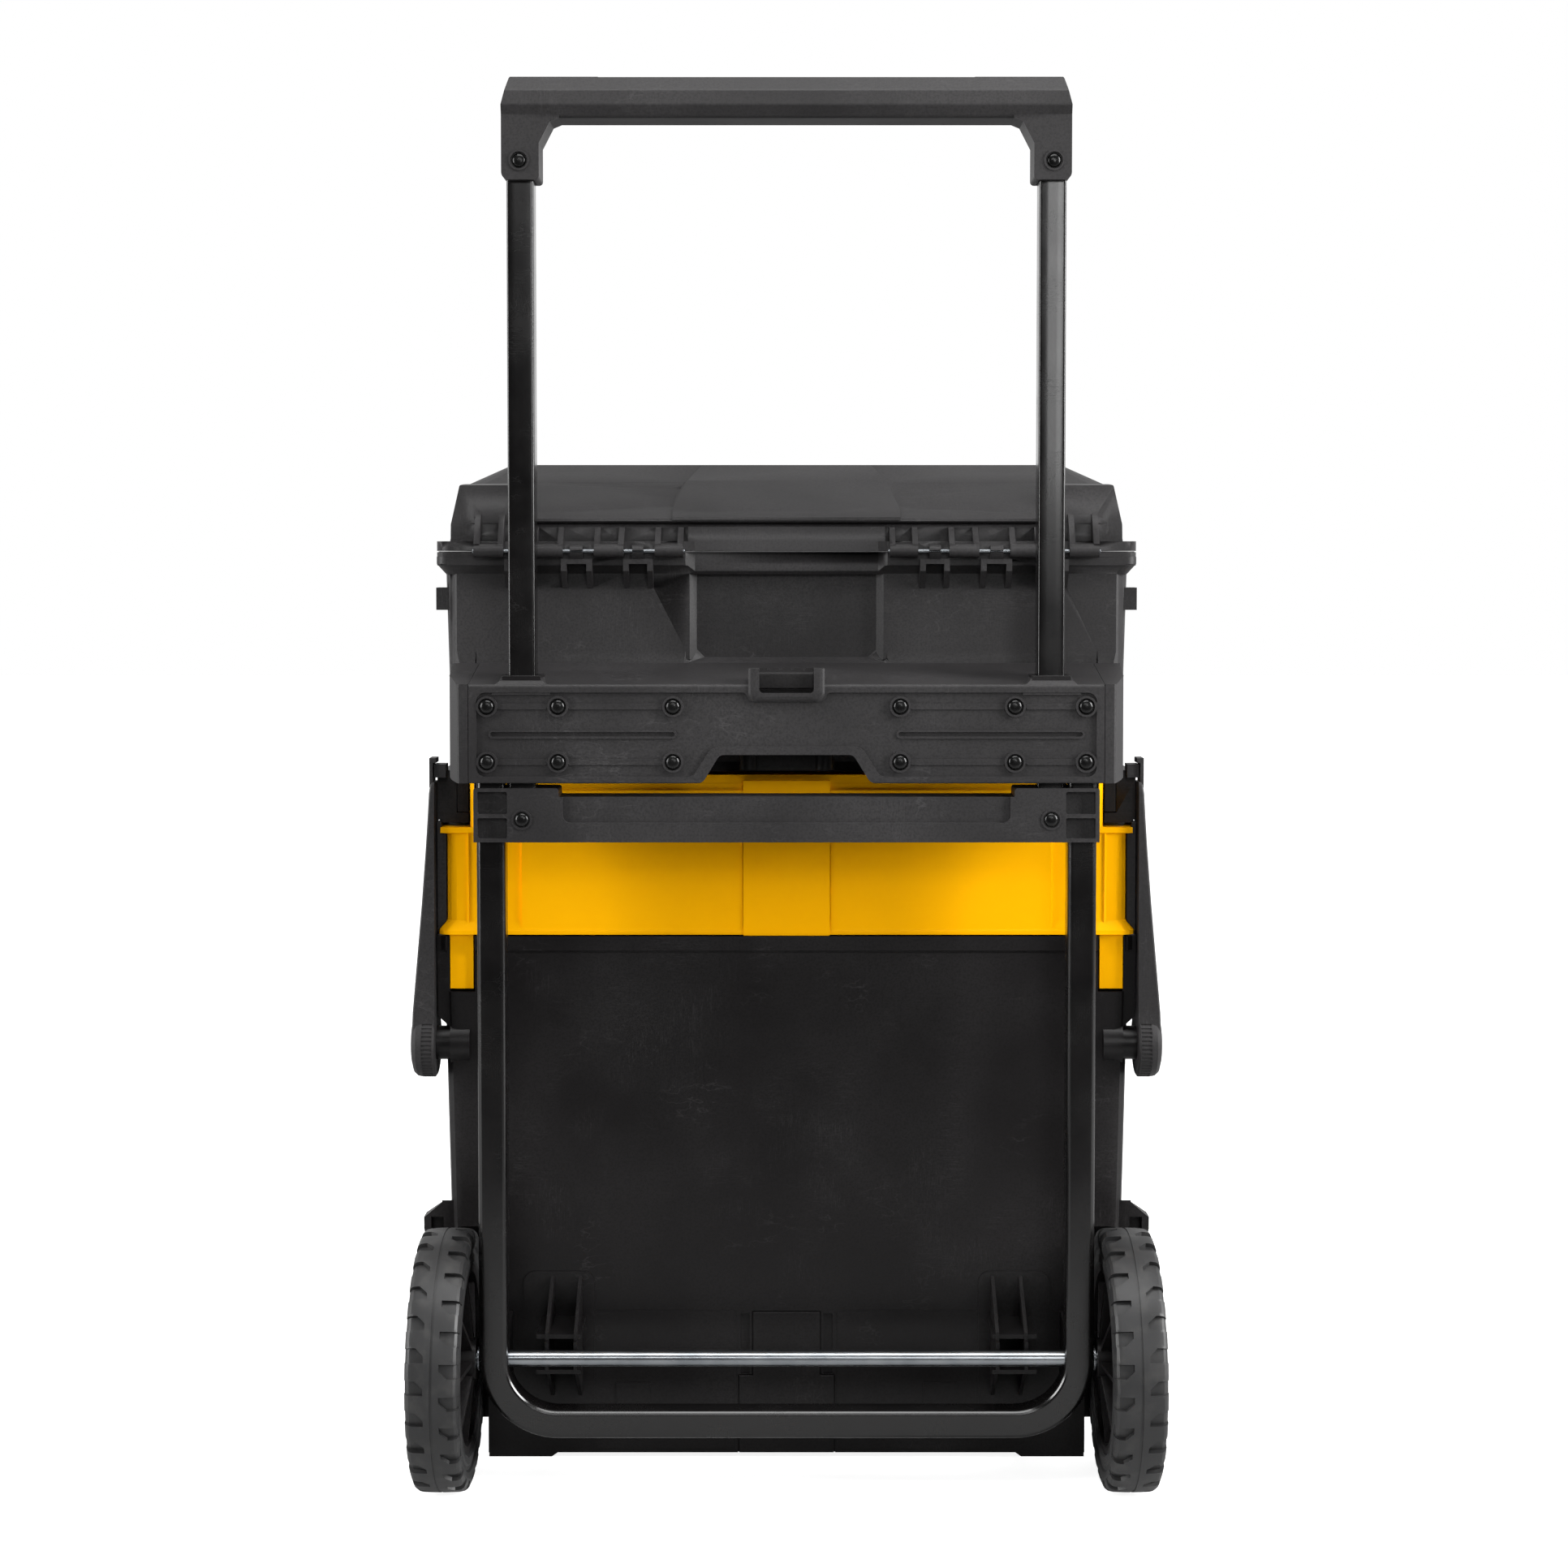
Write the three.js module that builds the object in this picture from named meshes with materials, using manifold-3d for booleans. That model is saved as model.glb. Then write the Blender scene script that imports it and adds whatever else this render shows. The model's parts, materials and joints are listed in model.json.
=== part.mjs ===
// Rolling tool box: a deep bin on two wheels, a slide collar on top of it, and a lidded tool box
// that runs forward on the collar's ball slides. A telescopic handle rides on a bent steel frame.
// Millimetres, +Z up, +Y to the rear (handle side). The origin is on the floor, under the middle.

import * as THREE from "three";
import { mergeVertices } from "three/addons/utils/BufferGeometryUtils.js";
import Module from "manifold-3d";

const wasm = await Module();
wasm.setup();

// ---------------------------------------------------------------- driving dimensions

const DEPTH = 440; // front lip to the back of the wheels
const REAR = DEPTH / 2;
const FRONT = -DEPTH / 2;
const GAP = 0.3; // between faces that touch
const WALL = 3; // moulded shells

const WHEEL = { r: 89, inner: 218, outer: 254, rimR: 64 };
const AXLE = { y: REAR - WHEEL.r, z: WHEEL.r, r: 5.6, end: 254.5 };

const TUBE = 20; // outside of the frame's square tube
const TUBE_WALL = 1.8;
const TUBE_FRONT = AXLE.y - TUBE / 2;
const TUBE_REAR = AXLE.y + TUBE / 2;
const FRAME = { x: 203, top: 548, bottom: 45, bend: 45 };
const UPRIGHT = { x: 181, width: 18.5, bottom: 456, top: 934, rivet: 914 };

const BIN = { x: 246, foot: 237, rear: 74, front: -208, top: 376, under: 3, base: 214, step: 24 };
const COLLAR = { x: 243, slideX: 226, rear: 71, front: -206, bottom: 377, step: 453.5, top: 491 };
const BOX = { x: 245, rear: 66, front: -208, bottom: 492.5, rim: 650, rimX: 249, rimRear: 72, rimFront: -213 };
const LID = { top: 713, ridge: 669, skirt: 657 };
const HINGE = { y: 77, z: BOX.rim, r: 4.5, pin: 1.6 };
const PIVOT = { y: 64, z: 298, r: 12, hub: 24 }; // the side latches turn here
const BRACKET = { x: 220, end: 239, rear: 148, front: 76, bottom: 491, top: 559, wallTop: 571 };
const RIVET = { head: 5.2, shank: 2.4, rise: 2.4 };

// ---------------------------------------------------------------- materials

function material(color, roughness, metalness) {
  return new THREE.MeshStandardMaterial({ color, roughness, metalness });
}
const plastic = material(0x232324, 0.62, 0);
const darkPlastic = material(0x1a1a1b, 0.5, 0);
const yellow = material(0xf5a800, 0.45, 0);
const paintedSteel = material(0x141315, 0.3, 0.4);
const zinc = material(0xb9c2c8, 0.25, 1);
const rubber = material(0x2a2a2a, 0.8, 0);
const rivetSteel = material(0x161616, 0.2, 0.5);

// ---------------------------------------------------------------- solids

// A closed three.js geometry as a solid that can be joined and cut.
function solid(geometry) {
  const bare = new THREE.BufferGeometry().setAttribute("position", geometry.attributes.position);
  bare.setIndex(geometry.index);
  const merged = mergeVertices(bare, 1e-4);
  const triVerts = new Uint32Array(merged.index.array);
  const build = () =>
    new wasm.Manifold(
      new wasm.Mesh({ numProp: 3, vertProperties: merged.attributes.position.array, triVerts }),
    );
  const made = build();
  if (made.volume() > 0) return made;
  turnRound(triVerts);
  return build();
}

function turnRound(triVerts) {
  for (let i = 0; i < triVerts.length; i += 3) {
    [triVerts[i + 1], triVerts[i + 2]] = [triVerts[i + 2], triVerts[i + 1]];
  }
}

function geometryOf(made) {
  const mesh = made.getMesh();
  const geometry = new THREE.BufferGeometry();
  geometry.setAttribute("position", new THREE.BufferAttribute(mesh.vertProperties, 3));
  geometry.setIndex(new THREE.BufferAttribute(mesh.triVerts, 1));
  return geometry;
}

// The same solid on the other side of the middle plane.
function mirrored(made) {
  return solid(geometryOf(made).scale(-1, 1, 1));
}

function both(made) {
  return made.add(mirrored(made));
}

function join(...solids) {
  return solids.reduce((a, b) => a.add(b));
}

function cut(made, ...tools) {
  return tools.reduce((a, b) => a.subtract(b), made);
}

// Points round an outline whose corners may be rounded: a point is [u, v] or [u, v, radius].
function outline(points, steps = 4) {
  const out = [];
  points.forEach(([u, v, radius = 0], i) => {
    const corner = new THREE.Vector2(u, v);
    if (!radius) {
      out.push(corner);
      return;
    }
    const before = points.at(i - 1);
    const after = points[(i + 1) % points.length];
    const a = new THREE.Vector2(before[0], before[1]).sub(corner).normalize();
    const b = new THREE.Vector2(after[0], after[1]).sub(corner).normalize();
    const half = Math.acos(THREE.MathUtils.clamp(a.dot(b), -1, 1)) / 2;
    const centre = a.clone().add(b).normalize().multiplyScalar(radius / Math.sin(half)).add(corner);
    const start = a.multiplyScalar(radius / Math.tan(half)).add(corner).sub(centre).angle();
    const end = b.multiplyScalar(radius / Math.tan(half)).add(corner).sub(centre).angle();
    const turn = THREE.MathUtils.euclideanModulo(end - start + Math.PI, 2 * Math.PI) - Math.PI;
    for (let k = 0; k <= steps; k++) {
      const angle = start + (turn * k) / steps;
      out.push(new THREE.Vector2(Math.cos(angle), Math.sin(angle)).multiplyScalar(radius).add(centre));
    }
  });
  return out;
}

function extrusion(points, steps, depth) {
  const shape = new THREE.Shape(outline(points, steps));
  return new THREE.ExtrudeGeometry(shape, { depth, bevelEnabled: false });
}

const AXIS_X = new THREE.Matrix4().makeBasis(
  new THREE.Vector3(0, 1, 0),
  new THREE.Vector3(0, 0, 1),
  new THREE.Vector3(1, 0, 0),
);
const AXIS_Y = new THREE.Matrix4().makeBasis(
  new THREE.Vector3(0, 0, 1),
  new THREE.Vector3(1, 0, 0),
  new THREE.Vector3(0, 1, 0),
);

// Outline points are [y, z], [x, z] and [x, y].
function prismX(points, x0, x1, steps) {
  return solid(extrusion(points, steps, x1 - x0).applyMatrix4(AXIS_X).translate(x0, 0, 0));
}

function prismY(points, y0, y1, steps) {
  const turned = points.map(([x, z, radius]) => [z, x, radius]);
  return solid(extrusion(turned, steps, y1 - y0).applyMatrix4(AXIS_Y).translate(0, y0, 0));
}

function prismZ(points, z0, z1, steps) {
  return solid(extrusion(points, steps, z1 - z0).translate(0, 0, z0));
}

function block(x0, x1, y0, y1, z0, z1) {
  const geometry = new THREE.BoxGeometry(x1 - x0, y1 - y0, z1 - z0);
  return solid(geometry.translate((x0 + x1) / 2, (y0 + y1) / 2, (z0 + z1) / 2));
}

function rodX(r, x0, x1, y, z, sides = 24) {
  const geometry = new THREE.CylinderGeometry(r, r, x1 - x0, sides);
  return solid(geometry.rotateZ(Math.PI / 2).translate((x0 + x1) / 2, y, z));
}

function rodY(r, x, y0, y1, z, sides = 16) {
  const geometry = new THREE.CylinderGeometry(r, r, y1 - y0, sides);
  return solid(geometry.translate(x, (y0 + y1) / 2, z));
}

// A ring turned about the X axis from a closed profile of [radius, x] points.
function turnedX(profile, sides, y, z) {
  const points = [...profile, profile[0]].map(([r, x]) => new THREE.Vector2(r, x));
  const geometry = new THREE.LatheGeometry(points, sides);
  return solid(geometry.rotateZ(-Math.PI / 2).translate(0, y, z));
}

// A closed skin through rings of equal length. The first ring's flat outline closes both ends.
function loft(rings, flat) {
  const count = flat.length;
  const positions = rings.flat().flatMap((p) => [p.x, p.y, p.z]);
  const index = [];
  for (let i = 0; i < rings.length - 1; i++) {
    for (let j = 0; j < count; j++) {
      const a = i * count + j;
      const b = i * count + ((j + 1) % count);
      index.push(a, b, b + count, a, b + count, a + count);
    }
  }
  const last = (rings.length - 1) * count;
  for (const [a, b, c] of THREE.ShapeUtils.triangulateShape(flat, [])) {
    index.push(c, b, a, a + last, b + last, c + last);
  }
  const geometry = new THREE.BufferGeometry();
  geometry.setAttribute("position", new THREE.Float32BufferAttribute(positions, 3));
  geometry.setIndex(index);
  return solid(geometry);
}

// A tub whose levels are [z, half width, front y, rear y], with rounded upright edges.
function tub(levels, radius, steps = 3) {
  const rings = levels.map(([z, x, y0, y1]) =>
    outline([[x, y0, radius], [x, y1, radius], [-x, y1, radius], [-x, y0, radius]], steps).map(
      (p) => new THREE.Vector3(p.x, p.y, z),
    ),
  );
  return loft(rings, rings[0].map((p) => new THREE.Vector2(p.x, p.y)));
}

// A square section with rounded edges, swept along a path of [x, z] points at the axle's depth.
function sweptTube(path, side, radius) {
  const h = side / 2;
  const section = outline([[-h, -h, radius], [h, -h, radius], [h, h, radius], [-h, h, radius]], 2);
  const points = path.map(([x, z]) => new THREE.Vector2(x, z));
  const rings = points.map((p, i) => {
    const into = i > 0 ? p.clone().sub(points[i - 1]).normalize() : null;
    const out = i < points.length - 1 ? points[i + 1].clone().sub(p).normalize() : null;
    const along = (into ?? out).clone().add(out ?? into).normalize();
    const stretch = 1 / along.dot(into ?? out);
    return section.map(
      (s) => new THREE.Vector3(p.x - along.y * s.x * stretch, AXLE.y + s.y, p.y + along.x * s.x * stretch),
    );
  });
  return loft(rings, section);
}

// ---------------------------------------------------------------- the scene graph

const toolbox = new THREE.Group();

function part(name, made, look) {
  const geometry = geometryOf(made).toNonIndexed();
  geometry.computeVertexNormals();
  const mesh = new THREE.Mesh(geometry, look);
  mesh.name = name;
  toolbox.add(mesh);
  return mesh;
}

// A piece drawn on the right (+X), and its mirror image on the left.
function pair(name, made, look) {
  part("right_" + name, made, look);
  part("left_" + name, made, look).scale.x = -1;
}

// ---------------------------------------------------------------- lower bin

const RIBS = [147.5, 167.5]; // the axle saddle's upright ribs
const RIB = { width: 2.5, top: 132, shoulder: 101, low: 76, bottom: 46, reach: AXLE.y - AXLE.r - GAP };
const SERVICE = { x: 24, wideX: 34, top: 105, shoulder: 59, depth: 4 };
const LEG = { x0: 223.5, x1: 240.5, front: 62, bottom: 338 };
const FENDER = { x: 261, r: 114, rear: 70 };

function lowerBin() {
  const well = WHEEL.r + 8;
  const outside = tub(
    [
      [BIN.under, BIN.foot, BIN.front + 10, BIN.rear],
      [BIN.top - 12, BIN.x - 1, BIN.front, BIN.rear],
      [BIN.top - 10, BIN.x + 2, BIN.front - 2, BIN.rear + 2],
      [BIN.top, BIN.x + 2, BIN.front - 2, BIN.rear + 2],
    ],
    10,
  );
  const inside = tub(
    [
      [BIN.under + 6, BIN.foot - WALL, BIN.front + 10 + WALL, BIN.rear - WALL],
      [BIN.top + 5, BIN.x - WALL, BIN.front + WALL, BIN.rear - WALL],
    ],
    8,
  );
  const wellWall = both(rodX(well + WALL, BIN.base - WALL, BIN.x + 20, AXLE.y, AXLE.z, 36));
  const legWall = both(block(218, 260, 57, 90, LEG.bottom - 5, BIN.top + 10));
  const sill = both(block(BIN.base - WALL, 260, -300, 100, 0, BIN.step + WALL));
  const cavity = cut(inside, wellWall, legWall, sill);
  const shell = join(
    outside,
    both(fender(well)),
    both(rodX(15, 226, 240, PIVOT.y, PIVOT.z)),
    both(rodX(PIVOT.r, 230, 263.5, PIVOT.y, PIVOT.z)),
    both(sideRib()),
    frontLip(),
    ...feet(),
  );
  return join(
    cut(
      shell,
      cavity,
      both(rodX(well, BIN.base, 270, AXLE.y, AXLE.z, 36)),
      both(block(222, 242.3, 61, 100, LEG.bottom - 2, BIN.top + 10)),
      both(block(BIN.base, 270, -300, 100, -1, BIN.step)),
      serviceRecess(),
    ),
    both(saddle()),
    both(block(196, 209, BIN.rear - 1, TUBE_FRONT - GAP, 62, 106)),
    both(block(98, 122, BIN.rear - 1, TUBE_FRONT - GAP, 38, 54)),
  );
}

// The arch over the front half of a wheel, with the hollow that its rear end shows.
function fender(well) {
  const arch = rodX(FENDER.r, 232, FENDER.x, AXLE.y, AXLE.z, 48);
  const keep = block(230, 260, -60, FENDER.rear, BIN.step, 200);
  const edge = prismY([[FENDER.x - 10, 200], [FENDER.x + 5, 200], [FENDER.x + 5, 158]], -70, 80);
  const hollow = block(246, 255, 60, 75, 140, 173);
  return cut(arch.intersect(keep), edge, rodX(well, 231, 262, AXLE.y, AXLE.z, 36), hollow);
}

function sideRib() {
  const points = [[242, BIN.top], [249.5, BIN.top], [249.5, BIN.top - 4], [245, 322], [242, 322]];
  return prismY(points, 62, 70);
}

function frontLip() {
  const points = [[FRONT, 372], [FRONT, 364], [-214, 352], [-205, 352], [-205, 372]];
  return prismX(points, -80, 80);
}

function feet() {
  const pads = [[22, 70, 0], [-190, -140, 0]].map(([y0, y1, z]) =>
    both(prismX([[y0 + 3, z], [y1 - 3, z], [y1, 7], [y0, 7]], 169, BIN.base)),
  );
  return pads;
}

// Ribs and shelves that hold the axle, on one side of the rear wall.
function saddle() {
  const wall = BIN.rear - 1;
  const notchTop = AXLE.z + 9;
  const notchLow = AXLE.z - 11;
  const reach = RIB.reach;
  const profile = [
    [wall, RIB.top],
    [BIN.rear, RIB.top],
    [reach - 4, RIB.shoulder + 3],
    [reach - 4, notchTop],
    [reach - 1, notchTop],
    [reach - 1, notchLow],
    [reach - 4, notchLow],
    [reach - 10, RIB.low - 2],
    [BIN.rear + 4, RIB.bottom],
    [wall, RIB.bottom],
  ];
  const ribs = RIBS.map((x) => prismX(profile, x - RIB.width / 2, x + RIB.width / 2));
  const shelves = [RIB.shoulder, RIB.low].map((z) => block(144, 175, wall, reach - 5, z - 1.5, z + 1.5));
  return join(...ribs, ...shelves);
}

function servicePanelOutline(grow) {
  return [
    [-SERVICE.wideX - grow, BIN.under],
    [SERVICE.wideX + grow, BIN.under],
    [SERVICE.wideX + grow, SERVICE.shoulder + grow],
    [SERVICE.x + grow, SERVICE.shoulder + grow],
    [SERVICE.x + grow, SERVICE.top + grow],
    [-SERVICE.x - grow, SERVICE.top + grow],
    [-SERVICE.x - grow, SERVICE.shoulder + grow],
    [-SERVICE.wideX - grow, SERVICE.shoulder + grow],
  ];
}

// A shallow recess, so that the panel's face stands almost level with the rear wall.
function serviceRecess() {
  const channel = both(block(SERVICE.x + 2.5, SERVICE.wideX - 1, BIN.rear - 1.5, BIN.rear + 1, 60, 104));
  return join(prismY(servicePanelOutline(0.9), BIN.rear - 1.6, BIN.rear + 1), channel);
}

part("lower_bin", lowerBin(), darkPlastic);
part("service_panel", prismY(servicePanelOutline(0), BIN.rear - 1.3, BIN.rear + 0.4), darkPlastic);

// ---------------------------------------------------------------- steel frame, axle and wheels

function framePath() {
  const { x, top, bottom, bend } = FRAME;
  const arc = (centreX, from) =>
    Array.from({ length: 8 }, (_, k) => {
      const angle = from + (Math.PI / 2) * (k / 7);
      return [centreX + bend * Math.cos(angle), bottom + bend + bend * Math.sin(angle)];
    });
  return [[-x, top], ...arc(bend - x, Math.PI), ...arc(x - bend, 1.5 * Math.PI), [x, top]];
}

function hollowEnds(path) {
  return [[path[0][0], path[0][1] + 1], ...path.slice(1, -1), [path.at(-1)[0], path.at(-1)[1] + 1]];
}

const BRACKET_RIVETS = [77.6, 156, 204.5].flatMap((x) => [506, 544].map((z) => [x, z]));

function frameTube() {
  const path = framePath();
  const holes = BRACKET_RIVETS.filter(([x]) => x > 190).map(([x, z]) =>
    both(rodY(RIVET.shank + GAP, x, TUBE_REAR - 3, TUBE_REAR + 1, z)),
  );
  return cut(
    sweptTube(path, TUBE, 5),
    sweptTube(hollowEnds(path), TUBE - 2 * TUBE_WALL, 3.2),
    rodX(AXLE.r + GAP, -230, 230, AXLE.y, AXLE.z),
    ...holes,
  );
}

function tyre() {
  const { r, inner, outer, rimR } = WHEEL;
  const profile = [
    [rimR + GAP, inner + 1],
    [r - 7, inner],
    [r - 2, inner + 2.5],
    [r, inner + 7],
    [r, outer - 7],
    [r - 2, outer - 2.5],
    [r - 7, outer],
    [rimR + GAP, outer - 1],
  ];
  return turnedX(profile, 48, AXLE.y, AXLE.z);
}

const HUB = { r: 14, inner: 215.2, outer: 252 };

function rim() {
  const { inner, outer, rimR } = WHEEL;
  const middle = (inner + outer) / 2;
  const ring = [[rimR - 5, inner + 2], [rimR, inner + 2], [rimR, outer - 2], [rimR - 5, outer - 2]];
  const web = turnedX([[5.9, middle - 2], [rimR - 3, middle - 2], [rimR - 3, middle + 2], [5.9, middle + 2]], 36, 0, 0);
  const hub = turnedX([[5.9, HUB.inner], [HUB.r, HUB.inner], [HUB.r, HUB.outer], [5.9, HUB.outer]], 24, 0, 0);
  const spokes = Array.from({ length: 8 }, (_, k) => {
    const flat = prismX(
      [[HUB.r - 1, middle - 0.5], [HUB.r - 1, HUB.inner + 2], [rimR - 4, inner + 4], [rimR - 4, middle - 0.5]],
      -1.5,
      1.5,
    );
    const geometry = geometryOf(flat.add(mirrorAcross(flat, middle)));
    return solid(geometry.rotateY(Math.PI / 2).rotateX((k * Math.PI) / 4));
  });
  const made = join(turnedX(ring, 48, 0, 0), web, hub, ...spokes);
  return solid(geometryOf(made).translate(0, AXLE.y, AXLE.z));
}

// Mirrors a flat spoke, drawn with its width along Z, across the middle of the wheel.
function mirrorAcross(made, middle) {
  return solid(geometryOf(made).translate(0, 0, -middle).scale(1, 1, -1).translate(0, 0, middle));
}

function axleCap() {
  const profile = [[0, 257.5], [7, 257.2], [11, 255.2], [11.5, 252.6], [6, 252.6], [6, 255], [0, 255]];
  return turnedX(profile, 24, AXLE.y, AXLE.z);
}

function washer() {
  return turnedX([[5.95, 213], [8.5, 213], [8.5, 214.6], [5.95, 214.6]], 24, AXLE.y, AXLE.z);
}

part("frame_tube", frameTube(), paintedSteel);
part("axle", rodX(AXLE.r, -AXLE.end, AXLE.end, AXLE.y, AXLE.z), zinc);
pair("tyre", tyre(), rubber);
pair("wheel_rim", rim(), darkPlastic);
pair("axle_cap", axleCap(), darkPlastic);
pair("axle_washer", washer(), zinc);

// ---------------------------------------------------------------- rear bracket

const GRIP_CUT = { top: 511, halfTop: 48, halfBottom: 60 };
const POCKET = { x: 21.5, bottom: 552, rimX: 26, rimBottom: 547.5, rimTop: 570, rise: 2 };
const BUSH = { half: 13.5, front: TUBE_FRONT - 5, rear: TUBE_REAR + 4, top: 565, bottom: FRAME.top + 0.7 };

// Height of the bracket's sloping ledge at a depth y.
function ledge(y) {
  const share = (BRACKET.rear - y) / (BRACKET.rear - BRACKET.front);
  return BRACKET.top + (BRACKET.wallTop - BRACKET.top) * share;
}

function rearBracket() {
  const { x, rear, front, bottom, top, wallTop } = BRACKET;
  const plate = TUBE_REAR + GAP;
  const section = [
    [rear, bottom, 1.5],
    [rear, top, 2],
    [front, wallTop],
    [front, wallTop - 4],
    [plate, top - 3],
    [plate, bottom],
  ];
  const bead = gripOutline(3.5);
  return cut(
    join(
      prismX(section, -x, x, 2),
      prismY(bead, rear - 2, rear + 1).intersect(block(-70, 70, rear - 3, rear + 3, bottom, 530)),
      prismY(pocketOutline(POCKET.rimX, POCKET.rimBottom), rear - 12, rear + POCKET.rise),
      ribbing(),
    ),
    prismY(gripOutline(0), rear - 20, rear + 5),
    prismY(pocketOutline(POCKET.x, POCKET.bottom, 12), rear - 30, rear + 5),
    both(bushBlock(GAP, 600)),
    ...BRACKET_RIVETS.map(([rx, z]) => both(rodY(RIVET.shank + GAP, rx, plate - 1, rear + 3, z))),
    ...BRACKET_RIVETS.map(([rx, z]) => both(rodY(RIVET.head + 1.4, rx, rear - 0.8, rear + 3, z, 20))),
  );
}

function gripOutline(grow) {
  const low = BRACKET.bottom - 5;
  return [
    [-GRIP_CUT.halfBottom - grow, low],
    [GRIP_CUT.halfBottom + grow, low],
    [GRIP_CUT.halfTop + grow, GRIP_CUT.top + grow, 5],
    [-GRIP_CUT.halfTop - grow, GRIP_CUT.top + grow, 5],
  ];
}

function pocketOutline(x, bottom, extra = 0) {
  const top = POCKET.rimTop + extra;
  return [[-x, bottom, 2], [x, bottom, 2], [x, top], [-x, top]];
}

// Raised stiffening ribs that run between the rivets.
function ribbing() {
  const { rear } = BRACKET;
  return join(...[506, 525, 544].map((z) => both(block(78, 203, rear - 1, rear + 0.8, z - 1.6, z + 1.6))));
}

function bracketEnd() {
  const { x, end, rear, front, bottom } = BRACKET;
  const plan = [[x + GAP, rear], [228, rear, 2], [end, rear - 30], [end, front], [x + GAP, front]];
  const hollow = [[x - 5, rear - WALL], [227, rear - WALL], [end - WALL, rear - 31], [end - WALL, front + WALL], [x - 5, front + WALL]];
  const side = [[rear + 5, bottom - 0.8], [rear + 5, ledge(rear + 5)], [front - 5, ledge(front - 5)], [front - 5, bottom + 5], [rear - 30, bottom + 5]];
  const inner = [[rear + 5, 480], [rear + 5, ledge(rear + 5) - 4], [front - 5, ledge(front - 5) - 4], [front - 5, 480]];
  const outer = prismZ(plan, 480, 590, 2).intersect(prismX(side, x - 10, end + 10));
  return cut(outer, prismZ(hollow, 470, 600).intersect(prismX(inner, x - 20, end + 10)));
}

// The steel plate that the rivets clamp behind the bracket.
function stiffener() {
  const rear = TUBE_REAR;
  const plate = prismY([[-167, 495], [167, 495], [167, 553], [-167, 553]], rear - 2.5, rear);
  return cut(
    plate,
    prismY(gripOutline(1.5), rear - 10, rear + 5),
    block(-27, 27, rear - 10, rear + 5, POCKET.rimBottom - 2, 560),
    ...BRACKET_RIVETS.filter(([x]) => x < 190).map(([x, z]) => both(rodY(RIVET.shank + GAP, x, 130, 150, z))),
  );
}

// A domed rivet whose head stands on a face at y.
function rivet(x, y, z, length) {
  const { head, shank, rise } = RIVET;
  const profile = [
    [0, rise],
    [head * 0.45, rise * 0.88],
    [head * 0.8, rise * 0.5],
    [head, 0],
    [shank, 0],
    [shank, -length],
    [0, -length],
  ];
  const geometry = new THREE.LatheGeometry([...profile, profile[0]].map(([r, h]) => new THREE.Vector2(r, h)), 12);
  return solid(geometry.translate(x, y, z));
}

function bushBlock(grow, top = BUSH.top) {
  const { half, front, rear, bottom } = BUSH;
  const x = UPRIGHT.x;
  return block(x - half - grow, x + half + grow, front - grow, rear + grow, bottom - grow, top);
}

function guideBush() {
  const hole = UPRIGHT.width / 2 + GAP;
  const passage = block(UPRIGHT.x - hole, UPRIGHT.x + hole, TUBE_FRONT - GAP, TUBE_REAR + GAP, 500, 600);
  return cut(bushBlock(0), passage);
}

part("rear_bracket", rearBracket(), plastic);
pair("bracket_end", bracketEnd(), plastic);
part("bracket_stiffener", stiffener(), zinc);
BRACKET_RIVETS.forEach(([x, z], i) => {
  pair("bracket_rivet_" + (i + 1), rivet(x, BRACKET.rear - 0.8 + GAP, z, 10.5), rivetSteel);
});

// ---------------------------------------------------------------- telescopic handle

const CROSSBAR = { x: 215.5, bottom: 450, top: 485.5, front: 116, rear: 147, midX: 157.5, midTop: 480.5 };
const GRIP = { x: 193, inner: 168, bottom: 901, barLow: 942.5, top: 971.5, rear: 146.5, front: 115.5 };

function crossbar() {
  const c = CROSSBAR;
  const hole = TUBE / 2 + GAP;
  const slot = UPRIGHT.width / 2 + GAP;
  const body = prismY(
    [
      [-c.x, c.bottom],
      [c.x, c.bottom],
      [c.x, c.top],
      [c.midX, c.top],
      [c.midX, c.midTop],
      [-c.midX, c.midTop],
      [-c.midX, c.top],
      [-c.x, c.top],
    ],
    c.front,
    c.rear,
  );
  const pockets = [[452.5, 466.5], [469, 483]].map(([z0, z1]) => both(block(194, 213, c.rear - 3.2, c.rear + 1, z0, z1)));
  return cut(
    body,
    both(block(FRAME.x - hole, FRAME.x + hole, TUBE_FRONT - GAP, TUBE_REAR + GAP, 440, 500)),
    both(block(UPRIGHT.x - slot, UPRIGHT.x + slot, TUBE_FRONT - GAP, TUBE_REAR + GAP, UPRIGHT.bottom - GAP, 500)),
    prismY([[-154, 465], [154, 465, 4], [154, 500], [-154, 500]], c.rear - 2, c.rear + 1),
    block(-150, 150, c.front - 1, c.rear - 12, c.bottom + 4, 500),
    ...pockets,
    both(rodY(RIVET.shank + GAP, UPRIGHT.x, 130, 150, 466.5)),
    both(rodY(RIVET.head + 1.4, UPRIGHT.x, c.rear - 0.8, 150, 466.5, 20)),
  );
}

function upright() {
  const w = UPRIGHT.width / 2;
  const inside = w - TUBE_WALL;
  const round = (half, front, rear, r) => [
    [UPRIGHT.x - half, front, r],
    [UPRIGHT.x + half, front, r],
    [UPRIGHT.x + half, rear, r],
    [UPRIGHT.x - half, rear, r],
  ];
  return cut(
    prismZ(round(w, TUBE_FRONT, TUBE_REAR, 2), UPRIGHT.bottom, UPRIGHT.top, 2),
    prismZ(round(inside, TUBE_FRONT + TUBE_WALL, TUBE_REAR - TUBE_WALL, 1), 450, 940, 1),
    rodY(RIVET.shank + GAP, UPRIGHT.x, 138, 145, 466.5),
    rodY(RIVET.shank + GAP, UPRIGHT.x, 138, 145, UPRIGHT.rivet),
  );
}

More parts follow.
